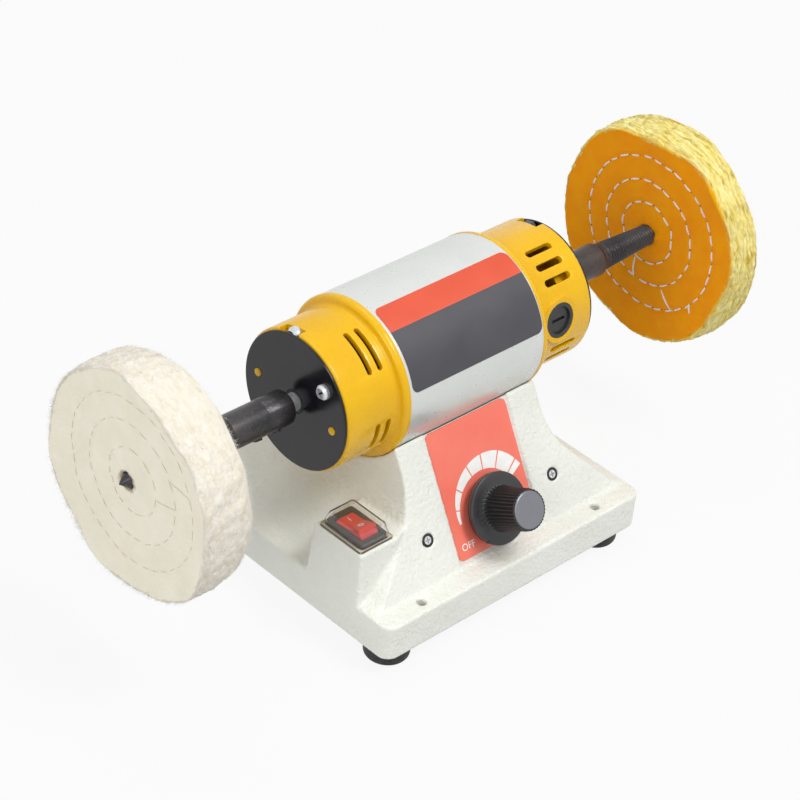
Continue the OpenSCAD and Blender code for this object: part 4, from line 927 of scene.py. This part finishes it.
for side, name in SIDES:
    turn = circle(48)
    points = np.concatenate([on_face(side * SHADE_RING_X + r * np.cos(turn), SHADE_RING_S + r * np.sin(turn), out)
                             for r, out in SHADE_RING_PROFILE])
    # The black ring is painted shade
    mesh_piece(name + "_screw_hole_shade", points, grid_faces(len(SHADE_RING_PROFILE), len(turn), close_rows=True),
               MATERIALS["rubber_black"], "frame", "rubber_black")


# Speed knob: a flat skirt with a notch for a pointer, and a fluted grip

FLUTES = 36
POINTER = math.radians(225)
POINTER_WIDTH = 0.03
# Height over the face, radius, depth of the flutes and of the pointer's notch
KNOB_PROFILE = (
    (1.9, 12.5, 0, 0), (1.9, 14.9, 0, 0), (2.2, 15.3, 0, 0.9), (4.7, 15.5, 0, 0.9), (5.0, 15.3, 0, 0.9),
    (5.1, 14.9, 0, 0.9), (5.25, 12.6, 0, 0), (5.4, 10.0, 0, 0), (5.5, 9.95, 0.5, 0), (6.2, 9.8, 1.0, 0),
    (7.4, 9.65, 1.15, 0), (11, 9.4, 1.15, 0), (16, 9.15, 1.15, 0), (22.0, 8.95, 1.1, 0),
    (22.9, 8.85, 0.8, 0), (23.3, 8.65, 0.3, 0), (23.35, 8.25, 0, 0), (22.6, 8.2, 0, 0),
    (22.6, 3.2, 0, 0), (3.8, 3.2, 0, 0), (3.8, 12.5, 0, 0))


def knob():
    angle = circle(FLUTES * 12)
    flute = (0.5 - 0.5 * np.cos(FLUTES * angle)) ** 0.9
    from_pointer = (angle - POINTER + math.pi) % (2 * math.pi) - math.pi
    notch = np.exp(-(from_pointer / POINTER_WIDTH) ** 4)
    rows = []
    for h, r, cut, dent in KNOB_PROFILE:
        size = r - cut * flute - dent * notch
        rows.append(on_face(size * np.cos(angle), KNOB_S + size * np.sin(angle), h))
    faces = grid_faces(len(KNOB_PROFILE), len(angle), close_rows=True)
    piece = mesh_piece("fluted_knob", np.concatenate(rows), faces, KNOB_BLACK, "knob", "plastic_black",
                       stands_for=("speed_knob",))
    split = piece.modifiers.new("edges", "EDGE_SPLIT")
    split.split_angle = math.radians(50)


knob()


# Soft edges on the CAD pieces

BEVELS = {
    "left_end_plate": 0.3, "right_end_plate": 0.3, "left_collar": 0.9, "right_collar": 0.9,
    "panel_plate": 0.15, "switch_rocker": 0.35, "switch_housing": 0.4, "rubber_feet": 0.8,
    "switch_gasket": 0.3, "knob_cap": 0.15, "brush_caps": 0.2, "brush_holders": 0.25,
}


def soften(obj, width, angle=30.0, harden=True):
    """Rounds the edges of a CAD piece a little."""
    weld = obj.modifiers.new("weld", "WELD")
    weld.merge_threshold = 0.01 * MM
    bevel = obj.modifiers.new("edges", "BEVEL")
    bevel.width = width * MM
    bevel.segments = 2
    bevel.limit_method = "ANGLE"
    bevel.angle_limit = math.radians(angle)
    bevel.use_clamp_overlap = True
    bevel.harden_normals = harden
    bevel.miter_outer = "MITER_ARC"


def soften_casting(obj):
    """Rounds a whole casting, inside corners too."""
    remesh = obj.modifiers.new("cast_form", "REMESH")
    remesh.mode = "VOXEL"
    remesh.voxel_size = 0.8 * MM
    remesh.use_smooth_shade = True
    smooth = obj.modifiers.new("soft_edges", "SMOOTH")
    smooth.iterations = 6
    smooth.factor = 0.5


soften_casting(nodes["base_casting"])
for name, width in BEVELS.items():
    soften(nodes[name], width)
for side, name in SIDES:
    soften(nodes[name + "_end_housing"], 0.2, angle=40, harden=False)


# Dial on the panel

PANEL_OUT = -1.3
# Angles between which the segments lie, the space between two, and the radius of their inner ends
SWEEP = (182.0, 162.5, 136.5, 107.0, 84.0, 60.0, 35.5, 27.0)
HALF_GAP = 0.9
DIAL_R = 16.6
# Angle and radius of their outer ends, which grow towards full speed
RISE = ((27.0, 24.5), (36.0, 24.4), (60.0, 24.2), (85.0, 23.0), (107.0, 21.8), (137.0, 20.1),
        (162.0, 18.7), (182.0, 17.7))
# How far the print reaches under the panel's surface, and its thickness
SUNK = 0.02
PRINT_THICK = 0.06


def flat_piece(name, x, s, out):
    """A thin print on the front face inside an outline."""
    n = len(x)
    points = np.concatenate([on_face(x, s, out), on_face(x, s, out + PRINT_THICK)])
    faces = [tuple(range(n)), tuple(range(2 * n - 1, n - 1, -1))]
    faces += [(i, n + i, n + (i + 1) % n, (i + 1) % n) for i in range(n)]
    mesh_piece(name, points, faces, PRINT, "frame", "panel_red", smooth=False)


for k in range(len(SWEEP) - 1):
    start = SWEEP[k] - (0.0 if k == 0 else HALF_GAP)
    end = SWEEP[k + 1] + (0.0 if k == len(SWEEP) - 2 else HALF_GAP)
    turn = np.linspace(end, start, 16)
    radius = np.concatenate([np.interp(turn, *zip(*RISE)), np.full_like(turn, DIAL_R)])
    turn = np.radians(np.concatenate([turn, turn[::-1]]))
    flat_piece("dial_segment_%d" % (k + 1), radius * np.cos(turn), KNOB_S + radius * np.sin(turn),
               PANEL_OUT - SUNK)


# Lettering: OFF on the panel, and I and O on the rocker

# Half the letters' height, and how far the middle of it lies over the panel
LETTER_THICK, LETTER_LIFT = 0.03, 0.02
OFF_X, OFF_S = -16.4, 7.4
# The rocker's pivot, its lean, the slope of its two wings, and the marks' places along and over it
ROCKER = Vector((-63.2, -35.0, 49.2))
ROCKER_TILT = math.radians(-12)
WING = math.atan2(1.5, 6.2)
MARK_ALONG, MARK_RISE = 3.4, 4.66


def lettering(name, text, size, place, body):
    """Raised print from the built-in font; place is where its plane lies."""
    curve = bpy.data.curves.new(name + "_curve", "FONT")
    curve.body = text
    curve.size = size * MM
    curve.extrude = LETTER_THICK * MM
    curve.align_x = "CENTER"
    curve.align_y = "CENTER"
    shape = add_object(name + "_curve", curve)
    bpy.context.view_layer.update()
    mesh = bpy.data.meshes.new_from_object(shape.evaluated_get(bpy.context.evaluated_depsgraph_get()))
    bpy.data.objects.remove(shape)
    mesh.transform(place)
    obj = add_object(name, mesh)
    paint(obj, PRINT)
    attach(obj, body)


def face_plane(x, s, out):
    """Places a flat shape on the front face."""
    centre = Vector(on_face(x, s, out)) * MM
    return Matrix.Translation(centre) @ Matrix.Rotation(math.pi / 2 - TILT, 4, "X")


def rocker_plane(along, slope):
    """Places a flat shape on a wing of the rocker."""
    turn = Matrix.Rotation(ROCKER_TILT, 4, "X")
    spot = Matrix.Translation(Vector((0, along, MARK_RISE)) * MM) @ Matrix.Rotation(slope, 4, "X")
    return Matrix.Translation(ROCKER * MM) @ turn @ spot


lettering("off_mark", "OFF", 4.3, face_plane(OFF_X, OFF_S, PANEL_OUT + LETTER_LIFT), "frame")
lettering("on_mark", "I", 3.2, rocker_plane(MARK_ALONG, WING), "rocker")
lettering("off_ring", "O", 3.4, rocker_plane(-MARK_ALONG, -WING), "rocker")


# Camera at the photograph's place, in metres, with the focal length in pixels of the photograph

CAMERA_AT = Vector((-0.6808, -0.6380, 0.7371))
YAW, PITCH_DOWN, ROLL = math.radians(46.51), math.radians(35.70), math.radians(5.58)
FOCAL = 2729
PHOTO_WIDTH = 800
SENSOR = 36

ahead = Vector((math.sin(YAW) * math.cos(PITCH_DOWN), math.cos(YAW) * math.cos(PITCH_DOWN),
                -math.sin(PITCH_DOWN)))
right = Vector((math.cos(YAW), -math.sin(YAW), 0))
up = right.cross(ahead)
cam_right = right * math.cos(ROLL) + up * math.sin(ROLL)
cam_up = up * math.cos(ROLL) - right * math.sin(ROLL)
camera_data = bpy.data.cameras.new("camera")
camera = add_object("camera", camera_data)
camera_data.sensor_width = SENSOR
camera_data.lens = FOCAL * SENSOR / PHOTO_WIDTH
camera_data.clip_start = 0.05
camera_data.clip_end = 20
turned = Matrix((cam_right, cam_up, -ahead)).transposed().to_4x4()
camera.matrix_world = Matrix.Translation(CAMERA_AT) @ turned
bpy.context.scene.camera = camera


# Studio

WORLD_LIGHT = 0.44
WORLD_TONE = (0.96, 0.98, 1, 1)
FLOOR_GREY = 0.62
# How much of the floor's own white the camera sees; the rest takes the shadow
FLOOR_GLOW = 0.9
FLOOR_HALF = 6


def seen_directly(tree):
    """One for rays that show the background: from the camera, off gloss or through glass."""
    path = add_node(tree, "LightPath")
    total = path.outputs["Is Camera Ray"]
    for key in ("Is Glossy Ray", "Is Transmission Ray"):
        total = add_node(tree, "Math", {0: total, 1: path.outputs[key]}, operation="MAXIMUM").outputs[0]
    return total


def light_world():
    """White where it is seen, and plain light on the object."""
    world = bpy.data.worlds.new("studio")
    bpy.context.scene.world = world
    world.use_nodes = True
    tree = world.node_tree
    tree.nodes.clear()
    seen = add_node(tree, "Background", {"Color": (1, 1, 1, 1), "Strength": 1.0})
    light = add_node(tree, "Background", {"Color": WORLD_TONE, "Strength": WORLD_LIGHT})
    blend = add_node(tree, "MixShader", {0: seen_directly(tree), 1: light.outputs[0], 2: seen.outputs[0]})
    add_node(tree, "OutputWorld", {0: blend.outputs[0]})


def lay_floor():
    """A pale floor that keeps the object's shadow."""
    mat = bpy.data.materials.new("floor")
    mat.use_nodes = True
    tree = mat.node_tree
    tree.nodes.clear()
    matt = add_node(tree, "BsdfDiffuse", {"Color": (FLOOR_GREY, FLOOR_GREY, FLOOR_GREY, 1)})
    glow = add_node(tree, "Emission", {"Strength": 1.0})
    share = add_node(tree, "Math", {0: seen_directly(tree), 1: FLOOR_GLOW}, operation="MULTIPLY")
    mixer = add_node(tree, "MixShader", {0: share.outputs[0], 1: matt.outputs[0], 2: glow.outputs[0]})
    add_node(tree, "OutputMaterial", {0: mixer.outputs[0]})
    mesh = bpy.data.meshes.new("floor")
    corners = [(x * FLOOR_HALF, y * FLOOR_HALF, 0) for x, y in ((-1, -1), (1, -1), (1, 1), (-1, 1))]
    mesh.from_pydata(corners, [], [(0, 1, 2, 3)])
    mesh.materials.append(mat)
    floor = add_object("floor", mesh)


def lamp(name, place, target, size, power):
    """A round soft lamp that points at a target, in metres and watts."""
    data = bpy.data.lights.new(name, "AREA")
    data.shape = "DISK"
    data.size = size
    data.energy = power
    obj = add_object(name, data)
    obj.location = place
    obj.rotation_mode = "QUATERNION"
    obj.rotation_quaternion = (Vector(target) - Vector(place)).to_track_quat("-Z", "Y")


light_world()
lay_floor()
lamp("key", (0.35, -0.9, 1.55), (0, 0, 0.06), size=0.7, power=16.5)
lamp("side", (-1.5, -0.35, 0.75), (0, 0, 0.08), size=1.0, power=8.5)
lamp("top", (0.1, 0.4, 1.7), (0, 0, 0.06), size=1.0, power=5.5)

bpy.context.scene.view_settings.view_transform = "Standard"
